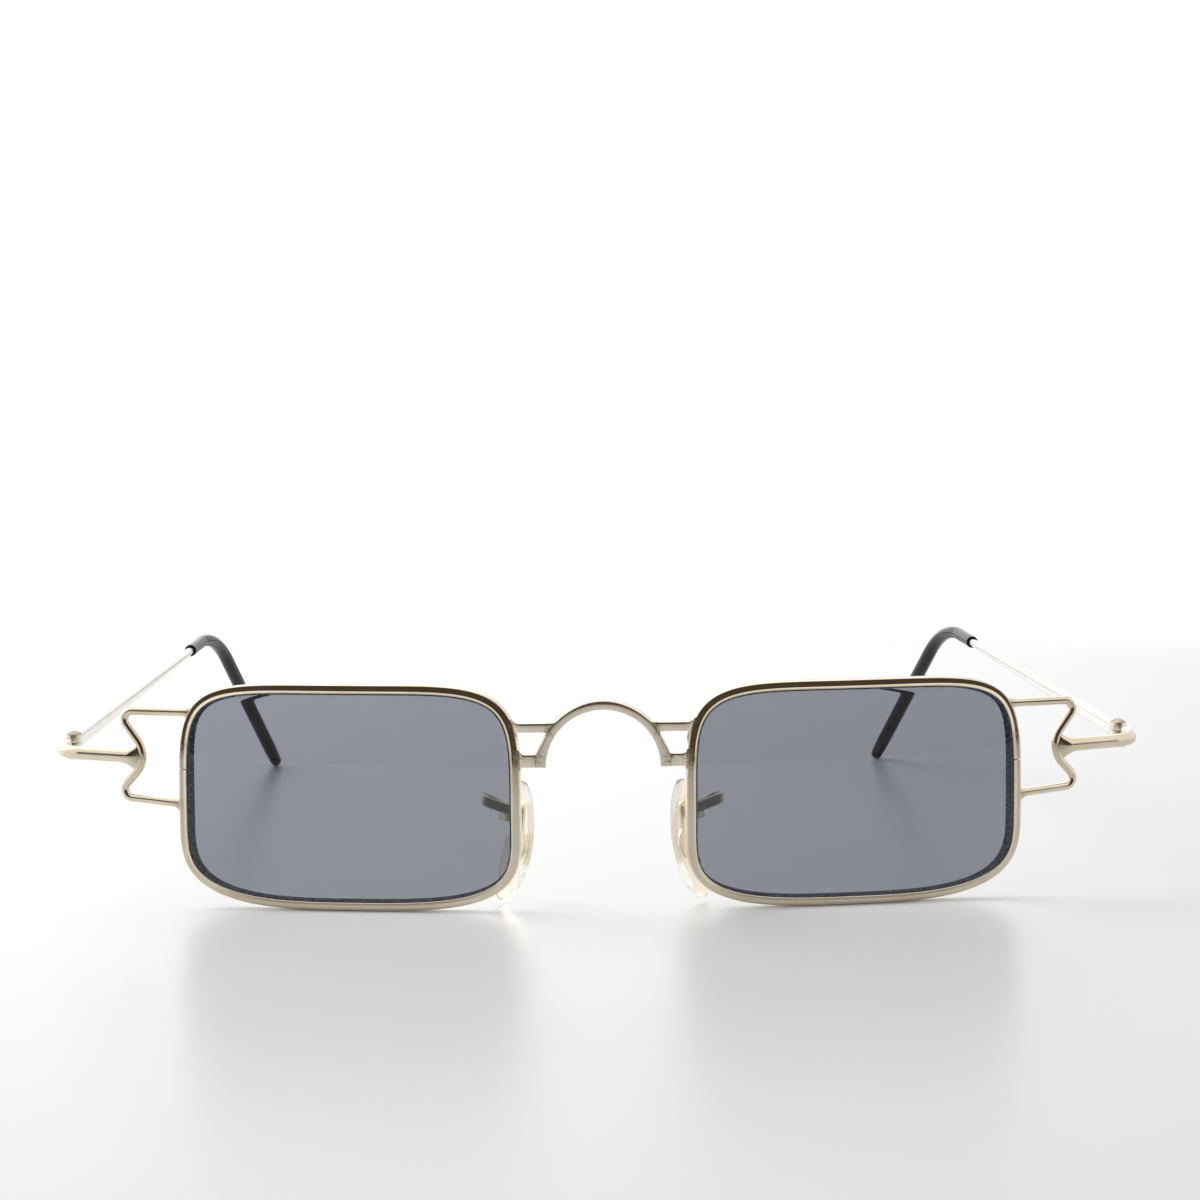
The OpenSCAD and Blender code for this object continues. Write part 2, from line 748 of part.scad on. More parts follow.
module pad_screw(side) {
    color(metal) in_frame(side) in_pad() rotate([90, 0, 0])
        union() {
            cylinder(h = box_w, r = pad_screw_r, center = true, $fn = 24);
            translate([0, 0, box_w / 2])
                cylinder(h = pad_screw_head_h, r = pad_screw_head_r, $fn = 32);
        }
}

// A flat strip leaves the back of the rim, loops out behind the lens and comes back
// to the pad's box. The loop's first limb lies this far behind the rim.
strip_run = 1.9;
strip_root = in_glasses([-nasal_edge(strip_root_z) + eyewire_w * 0.55,
    sag(nasal_edge(strip_root_z), strip_root_z) + eyewire_d / 2 - braze, strip_root_z]);
// Its end is brazed to the upper half of the box's back
strip_end = pad_to_glasses([box_back - braze, 0, box_h / 5]);
strip_path = rounded_path(
    [strip_root,
     [strip_root.x + strip_reach, strip_root.y + strip_run, strip_loop_z],
     [strip_root.x + strip_reach, strip_root.y + strip_run + strip_span, strip_loop_z],
     strip_end],
    [strip_bend_r, strip_bend_r], 6);

module pad_arm(side) {
    section = [[-strip_t, -strip_h] / 2, [strip_t, -strip_h] / 2,
               [strip_t, strip_h] / 2, [-strip_t, strip_h] / 2];
    color(metal) in_frame(side)
        skin([for (i = [0:len(strip_path) - 1]) swept_ring(strip_path, i, section, [0, 0, 1])]);
}

// End pieces

// How far the wire goes on into the rim. It stays short of the groove.
wire_sink = 0.35;

// Where a straight of the wire meets the rim's temple edge
function wire_root_at(z) =
    let (p = in_glasses([temple_edge(z), sag(temple_edge(z), z), z]))
    [p.x, p.y, z];

upper_root = wire_root_at(wire_upper_z);
lower_root = wire_root_at(wire_lower_z - wire_lower_drop);
wire_path = concat(
    [upper_root - unit(upper_corner - upper_root) * wire_sink],
    run_points(upper_root, upper_corner, wire_fillet),
    corner_arc(upper_root, upper_corner, wave_corner, corner_r, 7),
    corner_arc(upper_corner, wave_corner, lower_corner, wave_r, 7),
    corner_arc(wave_corner, lower_corner, lower_root, corner_r, 7),
    [for (k = [fillet_steps:-1:0])
        lower_root + unit(lower_corner - lower_root) * wire_fillet * k / fillet_steps],
    [lower_root - unit(lower_corner - lower_root) * wire_sink]);

// How far the wire's fillet stands out at a point of its path, counted from either end
function wire_flare(i) =
    let (from_end = min(i, len(wire_path) - 1 - i) - 1)
    from_end < 0 ? 0 : fillet_out(wire_fillet, from_end);

module end_wire(side) {
    across = turned([0, 1, 0], end_sweep);
    color(metal) in_frame(side)
        skin([for (i = [0:len(wire_path) - 1])
            swept_ring(wire_path, i, circle_section(wire_d / 2 + wire_flare(i), wire_sides), across)]);
}

// A hinge's own place: its axis is upright at the origin, Y runs back along the temple
module in_hinge() {
    translate([hinge_x, hinge_y, hinge_z]) rotate([0, 0, toe_in]) children();
}

function hinge_to_glasses(p) = [hinge_x, hinge_y, hinge_z] + turned(p, toe_in);

// The hinge's front leaf begins a little behind the end of the arm's bend
arm_straight = 0.15;
leaf_front = arm_bend_r * tan((90 + toe_in - end_sweep) / 2) + arm_straight - hinge_back;
arm_end = hinge_to_glasses([temple_axis, leaf_front + braze, 0]);
// The arm widens into the wave along a quarter circle
arm_fillet = 1.0;
arm_path = concat(
    run_points(wave_top, arm_corner, arm_fillet),
    corner_arc(wave_top, arm_corner, arm_end, arm_bend_r, 8),
    [arm_end]);

module end_arm(side) {
    color(metal) in_frame(side)
        skin([for (i = [0:len(arm_path) - 1])
            let (h = arm_d + 2 * fillet_out(arm_fillet, i))
            swept_ring(arm_path, i, oval_section(arm_d, h, 2, arm_sides), [0, 0, 1])]);
}

// Hinges

// How far the leaves stand proud of the temple, all round
leaf_proud = 0.05;
leaf_half_w = temple_root_w / 2 + leaf_proud;
leaf_inner_x = temple_axis - leaf_half_w;
leaf_outer_x = temple_axis + leaf_half_w;
leaf_half_h = temple_root_h / 2 + leaf_proud;
knuckle_clear = knuckle_r + hinge_gap;
stack_half = 1.5 * knuckle_h + hinge_gap;
// How far a leaf's neck reaches into its knuckle: across, and short of the axis
neck_x = knuckle_r * 0.8;
neck_y = knuckle_r * 0.5;

module knuckle(z0, z1) {
    translate([0, 0, z0]) cylinder(h = z1 - z0, r = knuckle_r, $fn = 48);
}

module knuckle_bore() {
    translate([0, 0, -2 * stack_half])
        cylinder(h = 4 * stack_half, r = hinge_screw_r + screw_gap, $fn = 32);
}

module leaf(x0, x1, y0, y1, z0, z1) {
    translate([x0, y0, z0]) cube([x1 - x0, y1 - y0, z1 - z0]);
}

// The front half has the upper and lower knuckle, and a butt face outside them
module hinge_front(side) {
    half = leaf_half_h;
    inner = knuckle_h / 2 + hinge_gap;
    color(metal) in_frame(side) in_hinge()
        difference() {
            union() {
                leaf(leaf_inner_x, leaf_outer_x, leaf_front, -knuckle_clear, -half, half);
                leaf(knuckle_clear, leaf_outer_x, -knuckle_clear - braze, -hinge_gap / 2, -half, half);
                leaf(leaf_inner_x, neck_x, -knuckle_clear - braze, -neck_y, inner, half);
                leaf(leaf_inner_x, neck_x, -knuckle_clear - braze, -neck_y, -half, -inner);
                knuckle(inner, stack_half);
                knuckle(-stack_half, -inner);
            }
            knuckle_bore();
        }
}

// The temple half has the middle knuckle between them
module hinge_temple(side) {
    half = leaf_half_h;
    color(metal) in_frame(side) in_hinge()
        difference() {
            union() {
                leaf(leaf_inner_x, leaf_outer_x, knuckle_clear, leaf_back, -half, half);
                leaf(knuckle_clear, leaf_outer_x, hinge_gap / 2, knuckle_clear + braze, -half, half);
                leaf(leaf_inner_x, neck_x, neck_y, knuckle_clear + braze, -knuckle_h / 2, knuckle_h / 2);
                knuckle(-knuckle_h / 2, knuckle_h / 2);
            }
            knuckle_bore();
        }
}

// The hinge screw has a low domed head with a slot, cut from a sphere through its rim
dome_ball = (knuckle_r * knuckle_r + screw_dome * screw_dome) / (2 * screw_dome);
slot_w = 0.25;
slot_depth = 0.2;

module hinge_screw(side) {
    color(metal) in_frame(side) in_hinge()
        difference() {
            union() {
                translate([0, 0, -stack_half]) cylinder(h = 2 * stack_half, r = hinge_screw_r, $fn = 32);
                intersection() {
                    translate([0, 0, stack_half + screw_dome - dome_ball]) sphere(r = dome_ball, $fn = 32);
                    translate([0, 0, stack_half]) cylinder(h = 1, r = knuckle_r, $fn = 32);
                }
            }
            translate([-knuckle_r, -slot_w / 2, stack_half + screw_dome - slot_depth])
                cube([2 * knuckle_r, slot_w, 2 * slot_depth]);
        }
}

// Temples

// A point at a distance along a temple: straight, round the ear, then down the hook.
// From the start of the bend the path also turns inwards.
function temple_point(d) =
    let (
        past = max(d - temple_straight, 0),
        bent = min(past, bend_l),
        turn = temple_rise - bent / ear_bend_r * 180 / PI,
        hooked = past - bent,
        run = min(d, temple_straight),
        y = run * cos(temple_rise)
            + ear_bend_r * (sin(temple_rise) - sin(turn)) + hooked * cos(hook_angle),
        z = run * sin(temple_rise)
            - ear_bend_r * (cos(temple_rise) - cos(turn)) - hooked * sin(hook_angle),
        inwards = past * tan(hook_inward)
    )
    hinge_to_glasses([temple_axis - inwards, y, z]);

temple_l = temple_straight + bend_l + hook_l;
sleeve_start = temple_straight - sleeve_lead;
wire_end = temple_l - sleeve_solid;

// Size of a bare temple at a distance along it
function temple_w(d) = mixed(temple_root_w, temple_end_d, min(d / sleeve_start, 1));
function temple_h(d) = mixed(temple_root_h, temple_end_d, min(d / sleeve_start, 1));
function temple_power(d) = mixed(4, 2, min(d / sleeve_start, 1));

// The stops along the bend and the hook that the wire and its sleeve share
bend_stops = [for (k = [0:bend_steps]) temple_straight + bend_l * k / bend_steps];

module temple(side) {
    root = leaf_back - braze;
    stops = [root, for (k = [1:5]) mixed(root, sleeve_start, k / 5), each bend_stops, wire_end];
    path = [for (d = stops) temple_point(d)];
    color(metal) in_frame(side)
        skin([for (i = [0:len(path) - 1])
            swept_ring(path, i,
                oval_section(temple_w(stops[i]), temple_h(stops[i]), temple_power(stops[i]), temple_sides),
                [0, 0, 1])]);
}

// The sleeve's skin starts deep in its bore, turns over the mouth and closes at the tip
module temple_sleeve(side) {
    bore = temple_end_d / 2 + sleeve_gap;
    wide = sleeve_d / 2;
    mouth = sleeve_mouth_d / 2;
    inner = [wire_end + sleeve_gap, for (k = [bend_steps:-1:0]) bend_stops[k], sleeve_start];
    outer = [
        [sleeve_start, mouth],
        for (k = [0:bend_steps]) [bend_stops[k], mixed(mouth, wide, k / bend_steps)],
        [wire_end, wide],
        for (k = [1:4]) [temple_l - tip_r * (1 - sin(22.5 * k)), tip_r * max(cos(22.5 * k), 0.2)]];
    inner_path = [for (d = inner) temple_point(d)];
    outer_path = [for (q = outer) temple_point(q[0])];
    color(black) in_frame(side)
        skin(concat(
            [for (i = [0:len(inner) - 1])
                let (back = [for (p = inner_path) -p])
                [for (p = swept_ring(back, i, circle_section(bore, temple_sides), [0, 0, -1])) -p]],
            [for (i = [0:len(outer) - 1])
                swept_ring(outer_path, i, circle_section(outer[i][1], temple_sides), [0, 0, 1])]));
}

eyewire("left");  // eyewire_left
eyewire("right");  // eyewire_right
lens("left");  // lens_left
lens("right");  // lens_right
rim_block("left", 1);  // rim_block_upper_left
rim_block("right", 1);  // rim_block_upper_right
rim_block("left", -1);  // rim_block_lower_left
rim_block("right", -1);  // rim_block_lower_right
rim_screw("left");  // rim_screw_left
rim_screw("right");  // rim_screw_right
bridge_arch();
bridge_bar("left");  // bridge_bar_left
bridge_bar("right");  // bridge_bar_right
bridge_block("left");  // bridge_block_left
bridge_block("right");  // bridge_block_right
pad_arm("left");  // pad_arm_left
pad_arm("right");  // pad_arm_right
pad_box("left");  // pad_box_left
pad_box("right");  // pad_box_right
pad_screw("left");  // pad_screw_left
pad_screw("right");  // pad_screw_right
pad_core("left");  // pad_core_left
pad_core("right");  // pad_core_right
nose_pad("left");  // nose_pad_left
nose_pad("right");  // nose_pad_right
end_wire("left");  // end_wire_left
end_wire("right");  // end_wire_right
end_arm("left");  // end_arm_left
end_arm("right");  // end_arm_right
hinge_front("left");  // hinge_front_left
hinge_front("right");  // hinge_front_right
hinge_temple("left");  // hinge_temple_left
hinge_temple("right");  // hinge_temple_right
hinge_screw("left");  // hinge_screw_left
hinge_screw("right");  // hinge_screw_right
temple("left");  // temple_left
temple("right");  // temple_right
temple_sleeve("left");  // temple_sleeve_left
temple_sleeve("right");  // temple_sleeve_right
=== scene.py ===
import bpy
import numpy as np
from mathutils import Matrix, Vector


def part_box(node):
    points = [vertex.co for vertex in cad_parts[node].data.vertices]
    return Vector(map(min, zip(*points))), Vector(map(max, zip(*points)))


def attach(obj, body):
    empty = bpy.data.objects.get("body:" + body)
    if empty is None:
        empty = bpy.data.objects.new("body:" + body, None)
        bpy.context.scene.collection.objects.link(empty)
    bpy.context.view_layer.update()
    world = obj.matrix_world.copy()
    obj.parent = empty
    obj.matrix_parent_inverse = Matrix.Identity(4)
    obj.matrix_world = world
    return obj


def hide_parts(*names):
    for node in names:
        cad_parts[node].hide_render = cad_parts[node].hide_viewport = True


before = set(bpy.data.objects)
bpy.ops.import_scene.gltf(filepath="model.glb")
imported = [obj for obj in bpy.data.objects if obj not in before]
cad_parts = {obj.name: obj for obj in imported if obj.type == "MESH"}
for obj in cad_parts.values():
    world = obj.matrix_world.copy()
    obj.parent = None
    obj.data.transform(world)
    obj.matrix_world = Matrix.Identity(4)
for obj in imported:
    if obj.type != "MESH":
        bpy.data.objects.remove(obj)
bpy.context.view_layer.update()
scene = bpy.context.scene
scene.view_settings.view_transform = "Standard"

# The glasses' lengths are in millimetres, with the front of the bridge at Y = 0, until makePiece, and
# the studio's in metres. "Left" is the wearer's left, on +X. Shapes are worked out for the left side
# and mirrored.
mmPerMetre = 1000

cameraSettings = dict(
    place=(-12.9, -479.3, 75.0),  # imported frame
    heading=1.76,  # degrees from +Y towards +X
    down=5.1,
    roll=0.45,  # the right side of the picture stands this much higher
    lens=102.3,
    sensor=36,
    near=0.01,
)


def addCamera(s):
    # Right, up and back come from the heading and pitch, then turn about the view by the roll
    yaw, pitch, roll = (np.radians(s[k]) for k in ("heading", "down", "roll"))
    ahead = Vector((np.sin(yaw) * np.cos(pitch), np.cos(yaw) * np.cos(pitch), -np.sin(pitch)))
    right = Vector((np.cos(yaw), -np.sin(yaw), 0))
    up = right.cross(ahead)
    rolledRight = right * np.cos(roll) - up * np.sin(roll)
    rolledUp = up * np.cos(roll) + right * np.sin(roll)
    data = bpy.data.cameras.new("camera")
    data.lens = s["lens"]
    data.sensor_width = s["sensor"]
    data.clip_start = s["near"]
    camera = bpy.data.objects.new("camera", data)
    scene.collection.objects.link(camera)
    turn = Matrix((rolledRight, rolledUp, -ahead)).transposed().to_4x4()
    camera.matrix_world = Matrix.Translation(Vector(s["place"]) / mmPerMetre) @ turn
    scene.camera = camera


addCamera(cameraSettings)
print("camera set")


# What every finish below is made with


def node(tree, kind, **values):
    # One shader node, with its settings and its unlinked inputs
    made = tree.nodes.new(kind)
    for key, value in values.items():
        if key in made.inputs:
            made.inputs[key].default_value = value
        else:
            setattr(made, key, value)
    return made


def newMaterial(name):
    # A material, its tree and its main shader
    material = bpy.data.materials.new(name)
    material.use_nodes = True
    tree = material.node_tree
    return material, tree, tree.nodes["Principled BSDF"]


def feed(tree, sockets, values):
    # Each socket gets a link from another node, a colour or a number
    for socket, value in zip(sockets, values):
        if isinstance(value, bpy.types.NodeSocket):
            tree.links.new(value, socket)
        else:
            socket.default_value = (*value, 1) if isinstance(value, tuple) else value


def mixedColour(tree, share, a, b):
    # a (1 - share) + b share
    m = node(tree, "ShaderNodeMix", data_type="RGBA")
    feed(tree, (m.inputs["Factor"], m.inputs[6], m.inputs[7]), (share, a, b))
    return m.outputs[2]


def combined(tree, operation, a, b):
    # One sum, product or maximum of two values
    m = node(tree, "ShaderNodeMath", operation=operation)
    feed(tree, (m.inputs[0], m.inputs[1]), (a, b))
    return m.outputs[0]


def span(tree, source, low, high, fromLow=0.3, fromHigh=0.7, curve="LINEAR"):
    # A value carried from one range to another
    r = node(tree, "ShaderNodeMapRange", interpolation_type=curve)
    sockets = [r.inputs[key] for key in ("Value", "From Min", "From Max", "To Min", "To Max")]
    feed(tree, sockets, (source, fromLow, fromHigh, low, high))
    return r.outputs["Result"]


def smoothEdge(tree, source, low, high):
    # 0 at low and 1 at high, with a smooth step between them
    return span(tree, source, 0, 1, low, high, "SMOOTHSTEP")


def grain(tree, scale, detail=2.0):
    # Noise over the object's own coordinates
    noise = node(tree, "ShaderNodeTexNoise", Scale=scale, Detail=detail)
    tree.links.new(node(tree, "ShaderNodeTexCoord").outputs["Object"], noise.inputs["Vector"])
    return noise.outputs["Fac"]


def bumped(tree, shader, height, s):
    # Relief on a shader, from a height
    bump = node(tree, "ShaderNodeBump", Strength=s["relief"], Distance=s["depth"])
    tree.links.new(height, bump.inputs["Height"])
    tree.links.new(bump.outputs["Normal"], shader.inputs["Normal"])


# The table, the room and the window, in metres
studio = dict(
    backdrop=(1.0, 1.0, 1.0),
    tableColour=(0.85, 0.85, 0.85),
    tableRough=0.3,
    tableFront=-0.3,
    tableBack=0.262,
    tableFade=0.062,  # its far edge is out of focus
    tableHalfWidth=0.62,
    tableDrop=0.00003,  # keeps it clear of the rims and the sleeve tips
    worldLight=(0.49, 0.495, 0.505),  # what falls on matt surfaces
    darkFront=(0.07, 0.052, 0.036),  # the unlit room that polished metal shows in front
    darkWide=0.62,  # cosine of the angle from straight ahead at which it ends
    darkTop=0.84,  # sine of the height at which it ends
    sideBlur=0.06,
    topBlur=0.05,
    brightRest=(1.0, 0.99, 0.97),
    windowTowards=(-0.42, 0.62, 0.66),
    windowEdge=(0.62, 0.82),  # cosines of the angles at which it starts and is full
    windowLight=(1.6, 1.59, 1.57),
    below=(0.42, 0.40, 0.37),
    horizonBlur=0.03,
    lampPlace=(-0.3, 0.3, 0.4),
    lampTowards=(0, 0.05, 0),
    lampSize=(0.6, 0.5),
    lampPower=3.0,
)


def addWorld(s):
    # White to the camera and through glass, even light for matt surfaces, and for what is polished a
    # dark room in front, pale walls, a window behind and a grey floor
    world = bpy.data.worlds.new("softStudio")
    scene.world = world
    world.use_nodes = True
    tree = world.node_tree
    tree.nodes.clear()
    link = tree.links.new
    rays = node(tree, "ShaderNodeLightPath").outputs
    direction = node(tree, "ShaderNodeTexCoord").outputs["Generated"]
    parts = node(tree, "ShaderNodeSeparateXYZ")
    link(direction, parts.inputs[0])
    y, z = parts.outputs["Y"], parts.outputs["Z"]
    inFront = smoothEdge(tree, y, s["sideBlur"] - s["darkWide"], -s["sideBlur"] - s["darkWide"])
    underTop = smoothEdge(tree, z, s["darkTop"] + s["topBlur"], s["darkTop"] - s["topBlur"])
    towards = node(tree, "ShaderNodeVectorMath", operation="DOT_PRODUCT")
    link(direction, towards.inputs[0])
    towards.inputs[1].default_value = Vector(s["windowTowards"]).normalized()
    window = smoothEdge(tree, towards.outputs["Value"], *s["windowEdge"])
    walls = mixedColour(tree, window, s["brightRest"], s["windowLight"])
    around = mixedColour(tree, smoothEdge(tree, z, 0.0, -s["horizonBlur"]), walls, s["below"])
    glossy = mixedColour(tree, combined(tree, "MULTIPLY", inFront, underTop), around, s["darkFront"])
    lit = mixedColour(tree, rays["Is Glossy Ray"], s["worldLight"], glossy)
    seen = combined(tree, "MAXIMUM", rays["Is Camera Ray"], rays["Is Transmission Ray"])
    background = node(tree, "ShaderNodeBackground")
    link(mixedColour(tree, seen, lit, s["backdrop"]), background.inputs["Color"])
    link(background.outputs[0], node(tree, "ShaderNodeOutputWorld").inputs[0])


def addTable(s):
    # A satin sheet: one flat rectangle that fades away at its far edge
    x, front, back = s["tableHalfWidth"], s["tableFront"], s["tableBack"]
    mesh = bpy.data.meshes.new("table")
    mesh.from_pydata([(-x, front, 0), (x, front, 0), (x, back, 0), (-x, back, 0)], [], [(0, 1, 2, 3)])
    table = bpy.data.objects.new("table", mesh)
    scene.collection.objects.link(table)
    table.location.z = -s["tableDrop"]
    material, tree, shader = newMaterial("whiteTable")
    shader.inputs["Base Color"].default_value = (*s["tableColour"], 1)
    shader.inputs["Roughness"].default_value = s["tableRough"]
    parts = node(tree, "ShaderNodeSeparateXYZ")
    tree.links.new(node(tree, "ShaderNodeTexCoord").outputs["Object"], parts.inputs[0])
    fade = smoothEdge(tree, parts.outputs["Y"], back, back - s["tableFade"])
    tree.links.new(fade, shader.inputs["Alpha"])
    mesh.materials.append(material)


def addLamp(s):
    # The window's own light, which polished surfaces don't mirror a second time
    data = bpy.data.lights.new("windowLamp", "AREA")
    data.shape = "RECTANGLE"
    data.size, data.size_y = s["lampSize"]
    data.energy = s["lampPower"]
    lamp = bpy.data.objects.new("windowLamp", data)
    lamp.location = s["lampPlace"]
    ahead = Vector(s["lampTowards"]) - Vector(s["lampPlace"])
    lamp.rotation_euler = ahead.to_track_quat("-Z", "Y").to_euler()
    lamp.visible_glossy = False
    scene.collection.objects.link(lamp)


addWorld(studio)
addTable(studio)
addLamp(studio)
print("studio set")

# The finishes. Grain, clouds and the like are noise scales per metre; depths are in metres.
metalLook = dict(
    bright=(0.79, 0.718, 0.59),
    warm=(0.73, 0.635, 0.47),
    brazed=(0.27, 0.22, 0.15),
    smooth=0.06,
    worn=0.14,
    clouds=260,
    scratches=2600,
    mottle=4200,
    brazeRough=0.3,
    brazeRelief=4.0,
    relief=0.25,
    depth=0.000004,
)
glassLook = dict(tint=(0.264, 0.273, 0.312), smears=140, smearRough=0.012, ior=1.5)
# The ground edge's dark grey is painted shade, for the rim's groove that it sits in
groundLook = dict(dark=(0.028, 0.032, 0.048), pale=(0.24, 0.27, 0.35), chips=3200, rough=0.7,
                  relief=0.5, depth=0.00002)
padLook = dict(clear=(1.0, 0.99, 0.96), cloudy=(0.98, 0.96, 0.91), amber=(0.96, 0.80, 0.52),
               amberFrom=(0.25, 0.7), clouds=420, rough=(0.10, 0.22), clearness=(0.99, 0.94), ior=1.15,
               waves=500, relief=0.15, depth=0.00001)
sleeveLook = dict(black=(0.004, 0.004, 0.005), faded=(0.010, 0.009, 0.009), fading=500, marks=1500,
                  rough=(0.06, 0.16), specular=0.3, waves=450, relief=0.2, depth=0.00003)


def metalFinish(name, **changes):
    # Plated wire: polished, with faint cloudy wear, fine scratches and dull braze at its joints
    s = dict(metalLook, **changes)
    material, tree, shader = newMaterial(name)
    link = tree.links.new
    fine = grain(tree, s["scratches"], detail=3)
    joint = node(tree, "ShaderNodeAttribute", attribute_name="brazed").outputs["Fac"]
    mottle = span(tree, grain(tree, s["mottle"], detail=3), 0.1, 1.0, 0.4, 0.6)
    spots = combined(tree, "MULTIPLY", joint, mottle)
    colour = mixedColour(tree, span(tree, grain(tree, s["clouds"]), 0, 1), s["bright"], s["warm"])
    link(mixedColour(tree, spots, colour, s["brazed"]), shader.inputs["Base Color"])
    dull = combined(tree, "MULTIPLY", spots, s["brazeRough"])
    polish = span(tree, fine, s["smooth"], s["worn"])
    link(combined(tree, "ADD", polish, dull), shader.inputs["Roughness"])
    shader.inputs["Metallic"].default_value = 1.0
    lumps = combined(tree, "MULTIPLY", spots, s["brazeRelief"])
    bumped(tree, shader, combined(tree, "ADD", fine, lumps), s)
    return material


def glassFinish(name, s):
    # Tinted glass with the faintest smears
    material, tree, shader = newMaterial(name)
    shader.inputs["Base Color"].default_value = (*s["tint"], 1)
    smears = span(tree, grain(tree, s["smears"], detail=3), 0.0, s["smearRough"])
    tree.links.new(smears, shader.inputs["Roughness"])
    shader.inputs["Transmission Weight"].default_value = 1.0
    shader.inputs["IOR"].default_value = s["ior"]
    return material


def groundFinish(name, s):
    # A lens edge as the grinding wheel leaves it, with paler chips. Its very dark grey is painted shade,
    # for the rim's groove that it sits in
    material, tree, shader = newMaterial(name)
    chips = span(tree, grain(tree, s["chips"], detail=5), 0, 1, 0.36, 0.74)
    tree.links.new(mixedColour(tree, chips, s["dark"], s["pale"]), shader.inputs["Base Color"])
    shader.inputs["Roughness"].default_value = s["rough"]
    bumped(tree, shader, chips, s)
    return material


def padFinish(name, s):
    # Clear plastic, a little cloudy with wear, that shows amber where it is seen edge on
    material, tree, shader = newMaterial(name)
    link = tree.links.new
    clouds = span(tree, grain(tree, s["clouds"], detail=3), 0.0, 1.0)
    weight = node(tree, "ShaderNodeLayerWeight", Blend=0.5)
    edgeOn = span(tree, weight.outputs["Facing"], 0.0, 1.0, *s["amberFrom"])
    clear = mixedColour(tree, clouds, s["clear"], s["cloudy"])
    link(mixedColour(tree, edgeOn, clear, s["amber"]), shader.inputs["Base Color"])
    link(span(tree, clouds, *s["rough"], 0, 1), shader.inputs["Roughness"])
    link(span(tree, clouds, *s["clearness"], 0, 1), shader.inputs["Transmission Weight"])
    shader.inputs["IOR"].default_value = s["ior"]
    bumped(tree, shader, grain(tree, s["waves"]), s)
    return material


def sleeveFinish(name, s):
    # Glossy black plastic with a faint moulding waviness and handling marks
    material, tree, shader = newMaterial(name)
    link = tree.links.new
    link(mixedColour(tree, grain(tree, s["fading"]), s["black"], s["faded"]), shader.inputs["Base Color"])
    link(span(tree, grain(tree, s["marks"], detail=3), *s["rough"]), shader.inputs["Roughness"])
    shader.inputs["Specular IOR Level"].default_value = s["specular"]
    bumped(tree, shader, grain(tree, s["waves"]), s)
    return material


polished = metalFinish("platedMetal")
# Temples: the plated metal, rougher and painted paler. The paleness is painted light, for the glare that
# falls on them
templeMetalPaintedLight = metalFinish("templeMetalPaintedLight", bright=(0.94, 0.92, 0.87), warm=(0.89, 0.86, 0.79),
                          smooth=0.24, worn=0.27, relief=0.03)
# Hinges: the plated metal, rougher and painted paler. The paleness is painted light, for the glare on them
hingeMetalPaintedLight = metalFinish("hingeMetalPaintedLight", bright=(0.93, 0.89, 0.81), warm=(0.86, 0.81, 0.71),
                         smooth=0.3, worn=0.42)
# Bridge: the plated metal painted paler. This is painted light, for more light on its front than the studio
# gives
bridgeMetalPaintedLight = metalFinish("bridgeMetalPaintedLight", bright=(0.96, 0.90, 0.77), warm=(0.91, 0.81, 0.64))
fittingMetal = metalFinish("fittingMetal", smooth=0.12, worn=0.28)
coreMetal = metalFinish("coreMetal", bright=(0.90, 0.87, 0.80), warm=(0.84, 0.76, 0.62),
                        smooth=0.25, worn=0.4)
screwMetal = metalFinish("screwMetal", bright=(0.52, 0.45, 0.34), warm=(0.38, 0.31, 0.22),
                         smooth=0.14, worn=0.3)
smokedGlass = glassFinish("smokedGlass", glassLook)
# The lens edge: frosted and chipped, painted dark grey as painted shade
groundGlassPaintedShade = groundFinish("groundGlassPaintedShade", groundLook)
clearPlastic = padFinish("clearPlastic", padLook)
blackPlastic = sleeveFinish("blackPlastic", sleeveLook)
print("finishes made")


# What every shape below is made with


def unit(v):
    # Each vector over its own length
    return v / np.linalg.norm(v, axis=-1, keepdims=True)


def powered(x, p):
    # x to the power p, keeping its sign
    return np.sign(x) * np.abs(x) ** p


def xyz(x, y, z):
    # Points from three arrays, each spread over the others' shape
    return np.stack(np.broadcast_arrays(x, y, z), -1)


def circle(a):
    # (cos a, sin a)
    return np.stack([np.cos(a), np.sin(a)], -1)


def allRound(n):
    # n angles, evenly spaced over a full turn
    return np.linspace(0, 2 * np.pi, n, endpoint=False)


def turned(p, degrees):
    # (x cos a - y sin a, x sin a + y cos a, z)
    a = np.radians(degrees)
    x, y, z = np.moveaxis(np.asarray(p, float), -1, 0)
    return xyz(x * np.cos(a) - y * np.sin(a), x * np.sin(a) + y * np.cos(a), z)


def cornerArcs(before, corners, after, radii, steps):
    # Arcs that touch both legs of their corners, each arc's angle going evenly from leg to leg
    u, v = unit(before - corners), unit(after - corners)
    half = np.arccos(np.clip((u * v).sum(1, keepdims=True), -1, 1)) / 2
    radii = np.broadcast_to(np.asarray(radii, float), len(corners))[:, None]
    middle = corners + unit(u + v) * radii / np.sin(half)
    first, last = (corners + leg * radii / np.tan(half) - middle for leg in (u, v))
    turn = (np.pi - 2 * half)[:, None]
    t = np.linspace(0, 1, steps + 1)[None, :, None]
    swept = np.sin(turn * (1 - t)) * first[:, None] + np.sin(turn * t) * last[:, None]
    return (middle[:, None] + swept / np.sin(turn)).reshape(-1, corners.shape[1])


def roundedPath(corners, radii):
    # Straights joined by arcs at the inner corners
    c = np.array(corners, float)
    return np.concatenate([c[:1], cornerArcs(c[:-2], c[1:-1], c[2:], radii, 30), c[-1:]])


def roundedLoop(corners, radii, steps):
    # A closed outline with an arc at every corner
    c = np.array(corners, float)
    return cornerArcs(np.roll(c, 1, 0), c, np.roll(c, -1, 0), radii, steps)


